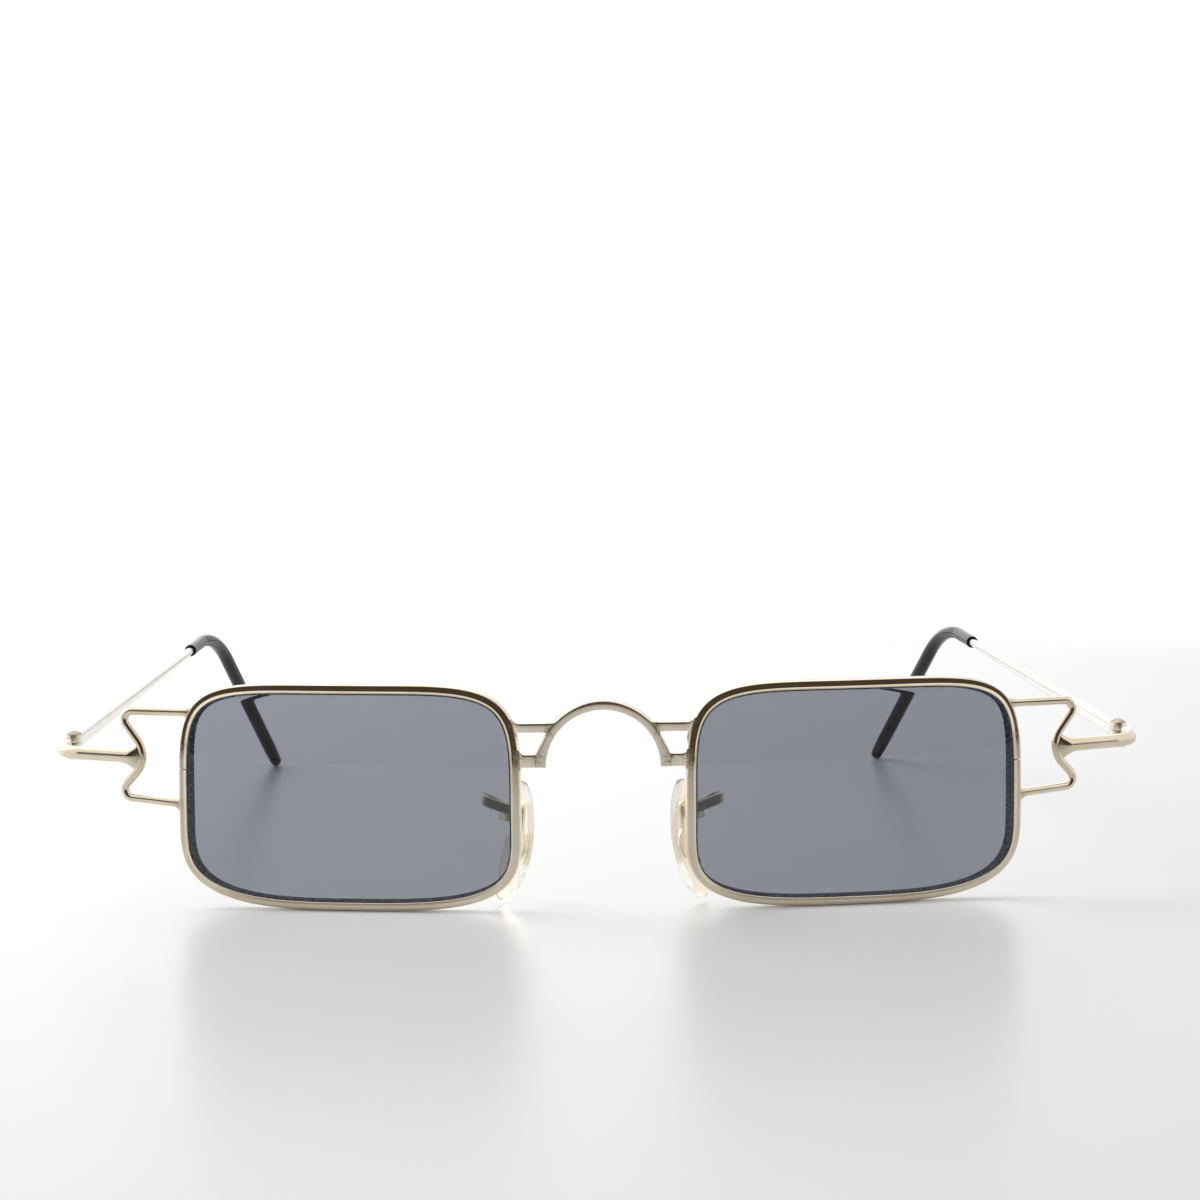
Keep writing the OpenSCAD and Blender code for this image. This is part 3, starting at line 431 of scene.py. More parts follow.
def evenly(path, spacing):
    # The same path with points at equal distances, and each point's distance along it
    far = np.concatenate([[0], np.cumsum(np.linalg.norm(np.diff(path, axis=0), axis=1))])
    at = np.linspace(0, far[-1], max(int(far[-1] / spacing), 3) + 1)
    return np.stack([np.interp(at, far, path[:, k]) for k in range(path.shape[1])], -1), at


def oval(w, h, power, sides):
    # (w/2 cos^(2/p), h/2 sin^(2/p)); w, h and power may be columns, one for each place on a path
    a = allRound(sides)
    w, h, power = (np.asarray(x, float)[..., None] for x in (w, h, power))
    return np.stack(np.broadcast_arrays(powered(np.cos(a), 2 / power) * w / 2,
                                        powered(np.sin(a), 2 / power) * h / 2), -1)


def carried(path, section, up):
    # path + side * section.x + top * section.y, with side across the path and "up", top across both
    path = np.asarray(path, float)
    along = unit(np.gradient(path, axis=0))
    side = unit(np.cross(along, np.broadcast_to(np.asarray(up, float), along.shape)))
    top = np.cross(side, along)
    section = np.broadcast_to(section, (len(path), *np.shape(section)[-2:]))
    return path[:, None] + side[:, None] * section[..., :1] + top[:, None] * section[..., 1:]


def flare(distance, r):
    # A quarter circle of radius r: r at the joint, nothing from r on
    near = np.clip(1 - distance / r, 0, 1)
    return r * (1 - np.sqrt(1 - near ** 2))


def block(size, middle, r, steps=6):
    # A box whose every edge is a quarter circle: rings of a rounded rectangle, drawn in at both ends
    a, b, c = (x / 2 for x in size)
    angle = np.radians(np.linspace(0, 360, 4 * steps, endpoint=False) + 90 / steps / 2)
    outward = circle(angle)
    lift = np.radians(np.linspace(-90, 90, 2 * steps))[:, None]
    z = np.where(lift < 0, -1, 1) * (c - r) + r * np.sin(lift)
    x, y = (np.sign(out) * (half - r) + out * (r * np.cos(lift)) for out, half in zip(outward.T, (a, b)))
    return xyz(x, y, z) + np.asarray(middle, float)


def lathe(profile, sides=56):
    # (r cos a, r sin a, z) for each (r, z) of the profile
    profile = np.asarray(profile, float)
    a = allRound(sides)
    r, z = profile[:, :1], profile[:, 1:]
    return xyz(r * np.cos(a), r * np.sin(a), z)


def slottedHead(r, edgeH, crownH, slotW, slotDepth, sides=28):
    # Strips across a round head: each is the chord at its x, closed under the head. The top is
    # edgeH high at the rim and rises to crownH as a shallow dome, and drops inside the slot.
    half, wall = slotW / 2, 0.004
    outer = r * np.sin(np.radians(np.linspace(2, 90, sides // 2)))
    outer = outer[outer > half + 5 * wall]
    x = np.concatenate([-outer[::-1], [-half - wall, -half, half, half + wall], outer])
    deep = (np.abs(x) <= half + 1e-9) * slotDepth
    chord = np.sqrt(np.maximum(r ** 2 - x ** 2, 1e-6))
    v = np.sin(np.radians(np.linspace(-90, 90, 22)))
    y = chord[:, None] * v
    top = edgeH + (crownH - edgeH) * (1 - (x[:, None] ** 2 + y ** 2) / r ** 2) - deep[:, None]
    loopY = np.concatenate([y, y[:, ::-1]], 1)
    loopZ = np.concatenate([top, np.zeros_like(top)], 1)
    return xyz(x[:, None], loopY, loopZ)


def shell(grid, **marks):
    # Faces between neighbouring rows, each closed on itself, and a fan from its middle on each end row
    n, m = grid.shape[:2]
    here = np.arange(m)
    after = (here + 1) % m
    row = np.arange(n - 1)[:, None] * m
    quads = np.stack([row + here, row + after, row + m + after, row + m + here], -1).reshape(-1, 4)
    last = (n - 1) * m
    start = np.stack([np.full(m, n * m), after, here], -1)
    end = np.stack([np.full(m, n * m + 1), last + here, last + after], -1)
    tris = np.concatenate([start, end])
    points = np.concatenate([grid.reshape(-1, 3), [grid[0].mean(0), grid[-1].mean(0)]])
    marks = {key: np.broadcast_to(value, (n, m)).ravel() for key, value in marks.items()}
    marks = {key: np.append(value, value[[0, -1]]) for key, value in marks.items()}
    # Where the volume, the sum of a . (b x c) over triangles, is negative, the faces look inwards
    corners = np.concatenate([quads[:, [0, 1, 2]], quads[:, [0, 2, 3]], tris])
    a, b, c = (points[corners[:, i]] for i in range(3))
    if np.einsum("ij,ij->i", a, np.cross(b, c)).sum() < 0:
        quads, tris = quads[:, ::-1], tris[:, ::-1]
    return dict(points=points, quads=quads, tris=tris, marks=marks)


middleY = -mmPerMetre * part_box("bridge_arch")[0][1]
sharpAngle = 40  # faces that turn by more than this are shaded with an edge between them


def makePiece(name, parts, body, solid, material, side="left"):
    # Puts the parts, which are shells or grids still to be closed, into one mesh in metres, mirrored
    # for the right side
    shells = [shell(part) if isinstance(part, np.ndarray) else part for part in parts]
    firsts = np.cumsum([0] + [len(s["points"]) for s in shells])
    quads, tris = (np.concatenate([s[key] + first for s, first in zip(shells, firsts)])
                   for key in ("quads", "tris"))
    points = (np.concatenate([s["points"] for s in shells]) - [0, middleY, 0]) / mmPerMetre
    if side == "right":
        points = points * [-1, 1, 1]
        quads, tris = quads[:, ::-1], tris[:, ::-1]
    mesh = bpy.data.meshes.new(name)
    mesh.vertices.add(len(points))
    mesh.vertices.foreach_set("co", points.astype(np.float32).ravel())
    corners = np.concatenate([quads.ravel(), tris.ravel()])
    starts = np.concatenate([np.arange(len(quads)) * 4, len(quads) * 4 + np.arange(len(tris)) * 3])
    mesh.loops.add(len(corners))
    mesh.loops.foreach_set("vertex_index", corners.astype(np.int32))
    mesh.polygons.add(len(starts))
    mesh.polygons.foreach_set("loop_start", starts.astype(np.int32))
    mesh.polygons.foreach_set("use_smooth", np.ones(len(starts), bool))
    mesh.update(calc_edges=True)
    mesh.validate()
    for key in sorted({key for s in shells for key in s["marks"]}):
        values = np.concatenate([s["marks"].get(key, np.zeros(len(s["points"]))) for s in shells])
        mesh.attributes.new(key, "FLOAT", "POINT").data.foreach_set("value", values.astype(np.float32))
    mesh.set_sharp_from_angle(angle=np.radians(sharpAngle))
    mesh.materials.append(material)
    piece = bpy.data.objects.new(name, mesh)
    scene.collection.objects.link(piece)
    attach(piece, body)
    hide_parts(solid)
    return piece


def camelCase(name):
    # bridge_bar_left becomes bridgeBarLeft
    first, *others = name.split("_")
    return first + "".join(word.title() for word in others)


def makePair(name, parts, material, body="front", solid=None):
    # A piece and its mirror image, each in place of the solid of the same name or of the one given
    return [makePiece(camelCase(name + "_" + side), parts, body.format(side), (solid or name) + "_" + side,
                      material, side) for side in ("left", "right")]


# Rims and lenses
rim = dict(
    gap=20.2, nasal=21.1, temple=21.45, height=27.9, widest=10.7,
    upperTemple=5.4, upperNasal=5.0, lowerNasal=3.7, lowerTemple=3.2,
    width=1.05, depth=2.0, groove=0.5, grooveMouth=1.3,
    faceForm=9, ball=130, setBack=0.1, cutGap=0.1, gather=0.6, steps=520,
    lip=0.17, flat=(0.09, 0.6), cove=0.81, coveRise=0.03, lipFrom=0.95, lipRound=0.08, backRound=0.13,
    outerRound=0.25, radii=(0.14, 0.11, 0.55, 0.5, 0.04, 0.04, 0.05, 0.08, 0.05, 0.09, 0.09, 0.2, 0.2),
)
# How far each level lies under the rim's top, or under the level that it is taken from
drop = dict(cut=10.7, bar=5.25, foot=4.85, upper=3.75, lower=10.7, lowerRoot=0.6, wave=5.75, hinge=-0.3)
lens = dict(thick=1.8, gap=0.03, chamfer=0.14, backChamfer=(0.36, 0.24), templeChamfer=0.8, steps=480,
            rings=26)


def rimOutline(s):
    # Each quarter is a superellipse r = ((|cos a| / w)^n + (|sin a| / h)^n)^(-1/n) about the level where
    # the rim is widest. Its steps gather at the corners: a = atan2(h sin^g s, w cos^g s).
    c, n = np.cos(s), np.sin(s)
    w = np.where(c >= 0, rim["temple"], rim["nasal"])
    h = np.where(n >= 0, rim["height"] - rim["widest"], rim["widest"])
    power = np.where(c >= 0, np.where(n >= 0, rim["upperTemple"], rim["lowerTemple"]),
                     np.where(n >= 0, rim["upperNasal"], rim["lowerNasal"]))
    a = np.arctan2(h * powered(n, rim["gather"]), w * powered(c, rim["gather"]))
    r = ((np.abs(np.cos(a)) / w) ** power + (np.abs(np.sin(a)) / h) ** power) ** (-1 / power)
    edge = r[..., None] * circle(a)
    slope = np.stack([powered(edge[:, 0] / w, power - 1) / w, powered(edge[:, 1] / h, power - 1) / h], -1)
    return edge + [0, rim["widest"]], unit(slope)


def edgeAt(z, side):
    # How far out the rim's edge lies at a height, from the same superellipse
    up = np.asarray(z) >= rim["widest"]
    h = np.where(up, rim["height"] - rim["widest"], rim["widest"])
    power = np.where(up, rim["upper" + side.title()], rim["lower" + side.title()])
    return rim[side] * (1 - (np.abs(z - rim["widest"]) / h) ** power) ** (1 / power)


def sag(x, z):
    # The fall of a sphere: (x^2 + (z - middle)^2) / 2R
    return (x ** 2 + (z - rim["height"] / 2) ** 2) / (2 * rim["ball"])


nasalSag = sag(rim["nasal"], rim["widest"])
face = np.radians(rim["faceForm"])
rimPlace = np.array([
    rim["gap"] / 2 + rim["nasal"] * np.cos(face) + nasalSag * np.sin(face),
    rim["depth"] / 2 + rim["setBack"] + rim["nasal"] * np.sin(face) - nasalSag * np.cos(face), 0])


def inGlasses(p):
    # A point of the rim's own plane, turned by the face form and moved to its place
    return rimPlace + turned(p, rim["faceForm"])


def onRim(s, inset, depth):
    # The outline moved in by inset, laid on the sphere and moved back by depth
    edge, outward = rimOutline(s)
    p = edge[:, None] - outward[:, None] * np.asarray(inset, float)[None, :, None]
    y = sag(p[..., 0], p[..., 1]) + np.asarray(depth, float)[None]
    return inGlasses(xyz(p[..., 0], y, p[..., 1]))


cutZ = rim["height"] - drop["cut"]
cutEdge = edgeAt(cutZ, "temple")
barZ = rim["height"] - drop["bar"]
footZ = barZ - drop["foot"]
upperZ = rim["height"] - drop["upper"]
lowerZ = upperZ - drop["lower"]
lowerRootZ = lowerZ - drop["lowerRoot"]
waveZ = upperZ - drop["wave"]
hingeZ = waveZ - drop["hinge"]


def brazed(grid, spots, reach):
    # A shell marked with braze: exp(-(distance / reach)^2) from the nearest of the spots
    far = np.min([np.linalg.norm(grid - np.asarray(p), axis=-1) for p in spots], axis=0)
    return shell(grid, brazed=np.exp(-(far / reach) ** 2))


def rimSpot(z, side, depth=0.0):
    # The rim's edge at a height, moved back by depth
    u = edgeAt(z, side) * (1 if side == "temple" else -1)
    return inGlasses(np.array([u, sag(u, z) + depth, z]))


def rimGrid():
    # The wire's section, carried round the outline from one side of the cut to the other.
    # Front: flat outside, then a cove that climbs to a lip beside the lens. A V inside holds the lens.
    w, d, g = rim["width"], rim["depth"] / 2, rim["grooveMouth"] / 2
    front, (x0, x1), b, o = rim["lip"] - d, rim["flat"], rim["backRound"], rim["outerRound"]
    section = roundedLoop(
        [(0, front + rim["lip"]), (x0, front), (x1, front), (rim["cove"], front - rim["coveRise"]),
         (rim["lipFrom"], -d), (w, -d + rim["lipRound"]), (w, -g), (w - rim["groove"], 0), (w, g),
         (w, d - b), (w - b, d), (o, d), (0, d - o)], rim["radii"], 5)
    t = (cutZ - rim["widest"]) / (rim["height"] - rim["widest"]) / (cutEdge / rim["temple"])
    cut = np.arctan(t ** (1 / rim["gather"]))
    slope = (cutEdge / rim["temple"] * (rim["height"] - rim["widest"]) * rim["gather"]
             * np.tan(cut) ** (rim["gather"] - 1) / np.cos(cut) ** 2)
    half = rim["cutGap"] / 2 / slope
    s = np.linspace(cut + half, cut + 2 * np.pi - half, rim["steps"])
    return onRim(s, section[:, 0], section[:, 1])


def lensGrid():
    # Rings from the middle of the front over the ground edge to the middle of the back.
    # A ring at share f is (x f, middle + (z - middle) f) of the edge's outline. The chamfer behind
    # widens towards the temple: b + (B - b) max(cos s, 0)^4.
    edge, half = rim["width"] + lens["gap"], lens["thick"] / 2
    apex = rim["width"] - rim["groove"] + 2 * lens["gap"]
    lip = rim["grooveMouth"] / 2 - lens["gap"]
    c, b, widest = lens["chamfer"], lens["backChamfer"], lens["templeChamfer"]
    s = allRound(lens["steps"])
    # The outline runs 3 mm in on both faces; the rounded corners there are then cut away
    rings = roundedLoop([(edge + 3, -half), (edge + c, -half), (edge, -half + c), (edge, -lip), (apex, 0),
                         (edge, lip), (edge, half - b[1]), (edge + b[0], half), (edge + 3, half)],
                        [0.1, 0.04, 0.04, 0.03, 0.05, 0.03, 0.04, 0.04, 0.1], 3)[4:-4]
    inset, depth = rings.T
    shares = np.linspace(0.04, 1, lens["rings"]) ** 0.85
    base, outward = rimOutline(s)
    flat = (base - outward * (edge + widest + 0.05))[None] * shares[:, None, None]
    flat[..., 1] += (rim["height"] / 2) * (1 - shares)[:, None]

    def laid(back):
        x, z = flat[..., 0], flat[..., 1]
        return inGlasses(xyz(x, sag(x, z) + back, z))

    behind = (inset > edge) & (depth > 0)
    widened = edge + (inset - edge) * np.where(behind, widest / b[0], 1)
    most = np.maximum(np.cos(s), 0)[:, None, None] ** 4
    rounded = onRim(s, inset, depth) * (1 - most) + onRim(s, widened, depth) * most
    grid = np.concatenate([laid(-half), np.moveaxis(rounded, 1, 0), laid(half)[::-1]])
    ground = np.zeros(len(grid))
    ground[len(shares) + 1:len(shares) + len(rings) - 1] = 1
    return shell(grid, ground=ground[:, None])


def setEdgeFinish(piece, material):
    # A second finish for the faces whose corners are all marked as ground
    mesh = piece.data
    mesh.materials.append(material)

    def read(items, key, kind=np.int32):
        values = np.empty(len(items), kind)
        items.foreach_get(key, values)
        return values

    marked = read(mesh.attributes["ground"].data, "value", np.float32)
    corner, start = read(mesh.loops, "vertex_index"), read(mesh.polygons, "loop_start")
    ground = np.minimum.reduceat(marked[corner], start) > 0.5
    mesh.polygons.foreach_set("material_index", ground.astype(np.int32))
    mesh.update()


def letLightThrough(pieces):
    # Clear pieces throw no solid shadow on the table
    for piece in pieces:
        piece.visible_shadow = False
        piece.visible_diffuse = False


rimSpots = [rimSpot(z, "temple", -0.3) for z in (upperZ, lowerRootZ)]
rimSpots += [rimSpot(z, "nasal", -0.85) for z in (barZ + 0.5, footZ + 1.5)]
makePair("eyewire", [brazed(rimGrid(), rimSpots, reach=0.5)], polished)
lenses = makePair("lens", [lensGrid()], smokedGlass)
for piece in lenses:
    setEdgeFinish(piece, groundGlassPaintedShade)
letLightThrough(lenses)
print("rims and lenses made")

# Closing blocks and their screws
closing = dict(width=1.2, out=0.2, depth=1.8, height=1.5, gap=0.04, sink=0.05, screwR=0.35, headR=0.55,
               headH=0.35, slotW=0.16, slotDepth=0.15, r=0.16, reach=0.7)


def closingPlace(p):
    # The blocks' own place, behind the rim and centred on its cut
    s = closing
    outer = cutEdge + s["out"]
    back = sag(outer - s["width"], cutZ) + rim["depth"] / 2 - s["sink"]
    return inGlasses(p + np.array([outer - s["width"] / 2, back + s["depth"] / 2, cutZ]))


def closingGrids():
    # A block above and below the cut, the spots where they are brazed, and a screw through both
    s = closing
    lift = s["gap"] / 2 + s["height"] / 2
    size = (s["width"], s["depth"], s["height"])
    upper, lower = (closingPlace(block(size, (0, 0, z), s["r"])) for z in (lift, -lift))
    joint = [closingPlace(np.array([0, -s["depth"] / 2, z])) for z in (lift, -lift)]
    top = s["gap"] / 2 + s["height"]
    head = slottedHead(s["headR"], s["headH"] * 0.75, s["headH"], s["slotW"], s["slotDepth"])
    head = turned(head, 90) + [0, 0, top]
    r, c = s["screwR"], 0.06
    pin = lathe([(0.02, -top), (r - c, -top), (r, -top + c), (r, top + 0.02)])
    return upper, lower, joint, closingPlace(head), closingPlace(pin)


upper, lower, joint, head, pin = closingGrids()
makePair("rim_block_upper", [brazed(upper, joint, closing["reach"])], fittingMetal)
makePair("rim_block_lower", [brazed(lower, joint, closing["reach"])], fittingMetal)
makePair("rim_screw", [head, pin], fittingMetal)
print("closing blocks made")

# The arch over the nose, with its bars and blocks
bridge = dict(r=7.0, crown=1.1, foot=1.3, depth=1.7, stub=1.55, bar=1.1, legFrom=28, bevel=(0.25, 0.13),
              barBevel=(0.17, 0.06), fillet=0.5, barFillet=0.45, stubFillet=0.02, barSink=0.06,
              stubSink=0.02, blend=0.7, setBack=0.22, into=0.22, dip=0.5, dipOver=0.352)


def archGrid():
    # Rungs from the inner to the outer edge of a standing arch: up one leg, round, down the other.
    # The front of each rung is flat, with a shallow bevel along the outer edge; the outer part of the
    # section moves out where the rung is longer.
    s = bridge
    outer = s["r"] + s["crown"]
    turn = np.radians(np.linspace(0, 180, 140))
    legZ = np.linspace(0, s["stub"], 10)[:-1]
    inner = s["r"] * circle(turn)
    # The outside follows the outer circle between the legs and runs straight down each leg
    spread = np.radians(s["legFrom"])
    leg = np.stack([np.full_like(legZ, s["r"] + s["foot"]), legZ], -1)
    slope = leg[-1:] + (outer * circle(spread) - leg[-1]) * np.linspace(0, 1, 12)[1:-1, None]
    arc = np.linspace(spread, np.pi - spread, 110)
    outside = np.concatenate([leg, slope, outer * circle(arc), (slope * [-1, 1])[::-1],
                              (leg * [-1, 1])[::-1]])
    outside = evenly(outside, 0.12)[0]
    # Each outer point's rung goes to the inner circle at the same share of the way round
    angle = np.arctan2(outside[:, 1], outside[:, 0])
    angle = np.where(outside[:, 1] < 0.001, np.where(outside[:, 0] > 0, 0, np.pi), angle)
    inside = np.stack([np.interp(angle, turn, inner[:, 0]), np.interp(angle, turn, inner[:, 1])], -1)
    thick = np.linalg.norm(outside - inside, axis=1)
    d, b, crown = s["depth"], s["bevel"], s["crown"]
    section = roundedLoop([(0, 0), (crown - b[0], 0), (crown, b[1]), (crown, d), (0, d)],
                          [0.05, 0.3, 0.05, 0.12, 0.12], 5)
    # The bevel is widest at the crown and narrows down the legs
    narrow = 0.35 + 0.65 * np.clip(outside[:, 1:] / outer, 0, 1) ** 1.5
    out = section[:, 0] > crown / 2
    x = np.where(out, thick[:, None] - (crown - section[:, 0]) * np.where(section[:, 1] < d / 2, narrow, 1),
                 section[:, 0])
    plane = inside[:, None] + unit(outside - inside)[:, None] * x[..., None]
    return xyz(plane[..., 0], section[:, 1], plane[..., 1] + footZ)


def nasalX(z):
    # How far from the middle the rim's nasal edge lies
    u = -edgeAt(z, "nasal")
    return inGlasses(xyz(u, sag(u, z), z))[..., 0]


def barGrid(start, z, h, fillet):
    # A bar along X from start(z) into the rim, with a flat front and a bevel along its top. Near its
    # ends its height grows along a quarter circle; its front falls back to the rim's own and, inside
    # the rim, below it. A point at share t lies at start(z) (1 - t) + (edge(z) + into) t.
    s = bridge
    t = np.linspace(0, 1, 90)
    x1 = nasalX(z)
    x = start(z) * (1 - t) + (x1 + s["into"]) * t
    d, b = s["depth"], s["barBevel"]
    section = roundedLoop([(0, -h / 2), (0, h / 2 - b[0]), (b[1], h / 2), (d, h / 2), (d, -h / 2)],
                          [0.06, 0.3, 0.05, 0.12, 0.12], 5)
    grow = flare(x - x[0], fillet) + flare(np.maximum(x1 - x, 0), s["fillet"])
    height = z + section[:, 1] + np.sign(section[:, 1]) * grow[:, None]
    back = np.clip(1 - (x1 - x) / s["blend"], 0, 1) ** 2 * s["setBack"]
    back += np.clip(1 - (x[-1] - x) / s["dipOver"], 0, 1) ** 2 * s["dip"]
    depth = section[:, 0] + back[:, None] * (1 - section[:, 0] / d)
    across = start(height) * (1 - t)[:, None] + (nasalX(height) + s["into"]) * t[:, None]
    return xyz(across, depth, height)


def onArch(z):
    # Just inside the arch's outer circle
    r = bridge["r"] + bridge["crown"] - bridge["barSink"]
    return np.sqrt(np.maximum(r ** 2 - (z - footZ) ** 2, 0))


def onLeg(z):
    # Just inside the outer face of the arch's leg
    return bridge["r"] + bridge["foot"] - bridge["stubSink"] + 0 * z


archX, footX = onArch(barZ), bridge["r"] + bridge["foot"]
rimX, footRimX = nasalX(barZ), nasalX(footZ + 0.78)
archSpots = [(archX + 0.1, 0.05, barZ + 0.5), (archX + 0.5, 0.05, barZ - 0.5),
             (footX, 0.05, footZ + 1.3), (footX, 0.05, footZ + 0.6)]
barSpots = archSpots + [(rimX - 0.1, 0.1, barZ + 0.6), (footRimX - 0.15, 0.1, footZ + 1.6)]
bothSpots = [(way * x, y, z) for x, y, z in archSpots for way in (1, -1)]
barPoints = barGrid(onArch, barZ, bridge["bar"], bridge["barFillet"])
stubPoints = barGrid(onLeg, footZ + bridge["stub"] / 2, bridge["stub"], bridge["stubFillet"])
makePiece("bridgeArch", [brazed(archGrid(), bothSpots, reach=0.3)], "front", "bridge_arch",
          bridgeMetalPaintedLight)
makePair("bridge_bar", [brazed(barPoints, barSpots, reach=0.35)], bridgeMetalPaintedLight)
makePair("bridge_block", [brazed(stubPoints, barSpots, reach=0.35)], bridgeMetalPaintedLight)
print("bridge made")

# End pieces: the waved wires and the arms. The hinges' and temples' sizes stand here as well, since
# the arms end at the hinges and the hinges' leaves are as thick as the temples.
wire = dict(thick=1.05, upperReach=8.6, lowerReach=8.8, waveReach=4.1, corner=1.05, wave=3.2,
            sweep=20, sink=0.35, upperFillet=(0.15, 0.9), lowerFillet=(0.35, 1.0))
arm = dict(thick=1.7, bend=3.8, fillet=2.6, lowerFillet=3.3, slimming=1.8)
hinge = dict(x=66.4, back=4.8, axis=0.75, toeIn=6.7, knuckleR=1.0, knuckleH=1.0, leafBack=4.0, gap=0.05,
             screwR=0.5, dome=0.45, slotW=0.25, slotDepth=0.2, proud=0.05)
templeSize = dict(rise=3.2, straight=84.5, rootW=1.35, rootH=2.1, endD=1.1, bend=16, hook=41, inward=7)

wireRoot = inGlasses(np.array([cutEdge, sag(cutEdge, cutZ), 0]))
sweep, toeIn = np.radians(wire["sweep"]), np.radians(hinge["toeIn"])
sweepDirection = np.array([np.cos(sweep), np.sin(sweep), 0])


def inWirePlane(reach, z):
    # The upright plane that the waved wire lies in, which runs out from the rim and back by the sweep
    return wireRoot * [1, 1, 0] + sweepDirection * reach + [0, 0, z]


upperCorner, waveCorner, lowerCorner = (inWirePlane(r, z) for r, z in (
    (wire["upperReach"], upperZ), (wire["waveReach"], waveZ), (wire["lowerReach"], lowerZ)))
toUpper, toLower = unit(upperCorner - waveCorner), unit(lowerCorner - waveCorner)
waveHalf = np.arccos(np.dot(toUpper, toLower)) / 2
waveTop = waveCorner + unit(toUpper + toLower) * wire["wave"] * (1 / np.sin(waveHalf) - 1)
upperRoot, lowerRoot = rimSpot(upperZ, "temple"), rimSpot(lowerRootZ, "temple")


def wireGrid():
    # A round wire along a path of straights and arcs. Where it is brazed to the rim it spreads up and
    # down along the rim, each way with its own quarter circle.
    first = upperRoot - unit(upperCorner - upperRoot) * wire["sink"]
    last = lowerRoot - unit(lowerCorner - lowerRoot) * wire["sink"]
    path = roundedPath([first, upperCorner, waveCorner, lowerCorner, last],
                       [wire["corner"], wire["wave"], wire["corner"]])
    path, at = evenly(path, 0.11)
    grid = carried(path, oval(wire["thick"], wire["thick"], 2, 36), np.cross(sweepDirection, (0, 0, 1)))
    lift = grid[..., 2] - path[:, None, 2]
    for far, fillets in ((at, wire["upperFillet"]), (at[-1] - at, wire["lowerFillet"])):
        far = np.maximum(far - wire["sink"], 0)
        up, down = (1 + 2 * flare(far, r)[:, None] / wire["thick"] for r in fillets)
        lift = lift * np.where(lift > 0, up, down)
    grid[..., 2] = path[:, None, 2] + lift
    return grid


hingeMiddleX = hinge["x"] + hinge["axis"] * np.cos(toeIn) + hinge["back"] * np.sin(toeIn)
armCorner = np.array([hingeMiddleX, waveTop[1] + (hingeMiddleX - waveTop[0]) * np.tan(sweep), hingeZ])
hingePlace = np.array([hinge["x"], armCorner[1] - hinge["axis"] * np.sin(toeIn)
                       + hinge["back"] * np.cos(toeIn), hingeZ])
leafFront = (arm["bend"] * np.tan(np.radians((90 + hinge["toeIn"] - wire["sweep"]) / 2)) + 0.15
             - hinge["back"])


def inHinge(p):
    # The hinge's own place: its axis upright, Y back along the temple
    return hingePlace + turned(p, hinge["toeIn"])


def armGrid():
    # A round bar from the wave, round its bend and back to the hinge. At the wave it grows taller along
    # a quarter circle, as far as the wave's own arc lets it: half height sqrt(R^2 - (R - d)^2) + 0.2.
    # It also thins there from its own depth to the wire's: t + (T - t) f^2 (3 - 2 f).
    end = inHinge(np.array([hinge["axis"], leafFront + 0.06, 0]))
    path, at = evenly(roundedPath([waveTop, armCorner, end], [arm["bend"]]), 0.12)
    arc = np.sqrt(wire["wave"] ** 2 - np.maximum(wire["wave"] - at, 0) ** 2) + 0.2
    top, under = (1 + 2 / arm["thick"] * np.minimum(flare(at, r), np.maximum(arc - arm["thick"] / 2, 0))
                  for r in (arm["fillet"], arm["lowerFillet"]))
    f = np.clip(at / arm["slimming"], 0, 1)
    w = wire["thick"] + (arm["thick"] - wire["thick"]) * f ** 2 * (3 - 2 * f)
    grid = carried(path, oval(w, np.full_like(w, arm["thick"]), 2, 44), (0, 0, 1))
    lift = grid[..., 2] - path[:, None, 2]
    grid[..., 2] += lift * (np.where(lift > 0, top[:, None], under[:, None]) - 1)
    return grid


endSpots = [upperRoot, lowerRoot, waveTop]
makePair("end_wire", [brazed(wireGrid(), endSpots, reach=0.6)], polished)
makePair("end_arm", [brazed(armGrid(), endSpots, reach=0.8)], polished)
print("end pieces made")


# Hinges: on each side a front leaf, a temple leaf and a screw


def leafBlock(x0, x1, y0, y1, z0, z1, r):
    # A rounded box between two corners
    return inHinge(block((x1 - x0, y1 - y0, z1 - z0), ((x0 + x1) / 2, (y0 + y1) / 2, (z0 + z1) / 2), r))


def knuckleGrid(z0, z1):
    # A short cylinder with rounded edges about the hinge's axis
    r, c = hinge["knuckleR"], 0.07
    return inHinge(lathe([(0.05, z0), (r - c, z0), (r - 0.02, z0 + 0.02), (r, z0 + c), (r, z1 - c),
                          (r - 0.02, z1 - 0.02), (r - c, z1), (0.05, z1)]))


def leafSwell(y0, y1, w, h):
    # The arm's round end grows into the leaf: width, height and power go along s^2 (3 - 2 s)
    s = np.linspace(0, 1, 24)
    f = s ** 2 * (3 - 2 * s)
    path = xyz(hinge["axis"], y0 + (y1 - y0) * s, 0)
    size = (arm["thick"] + (x - arm["thick"]) * f for x in (w, h))
    return inHinge(carried(path, oval(*size, 2 + 5 * f, 48), (0, 0, 1)))


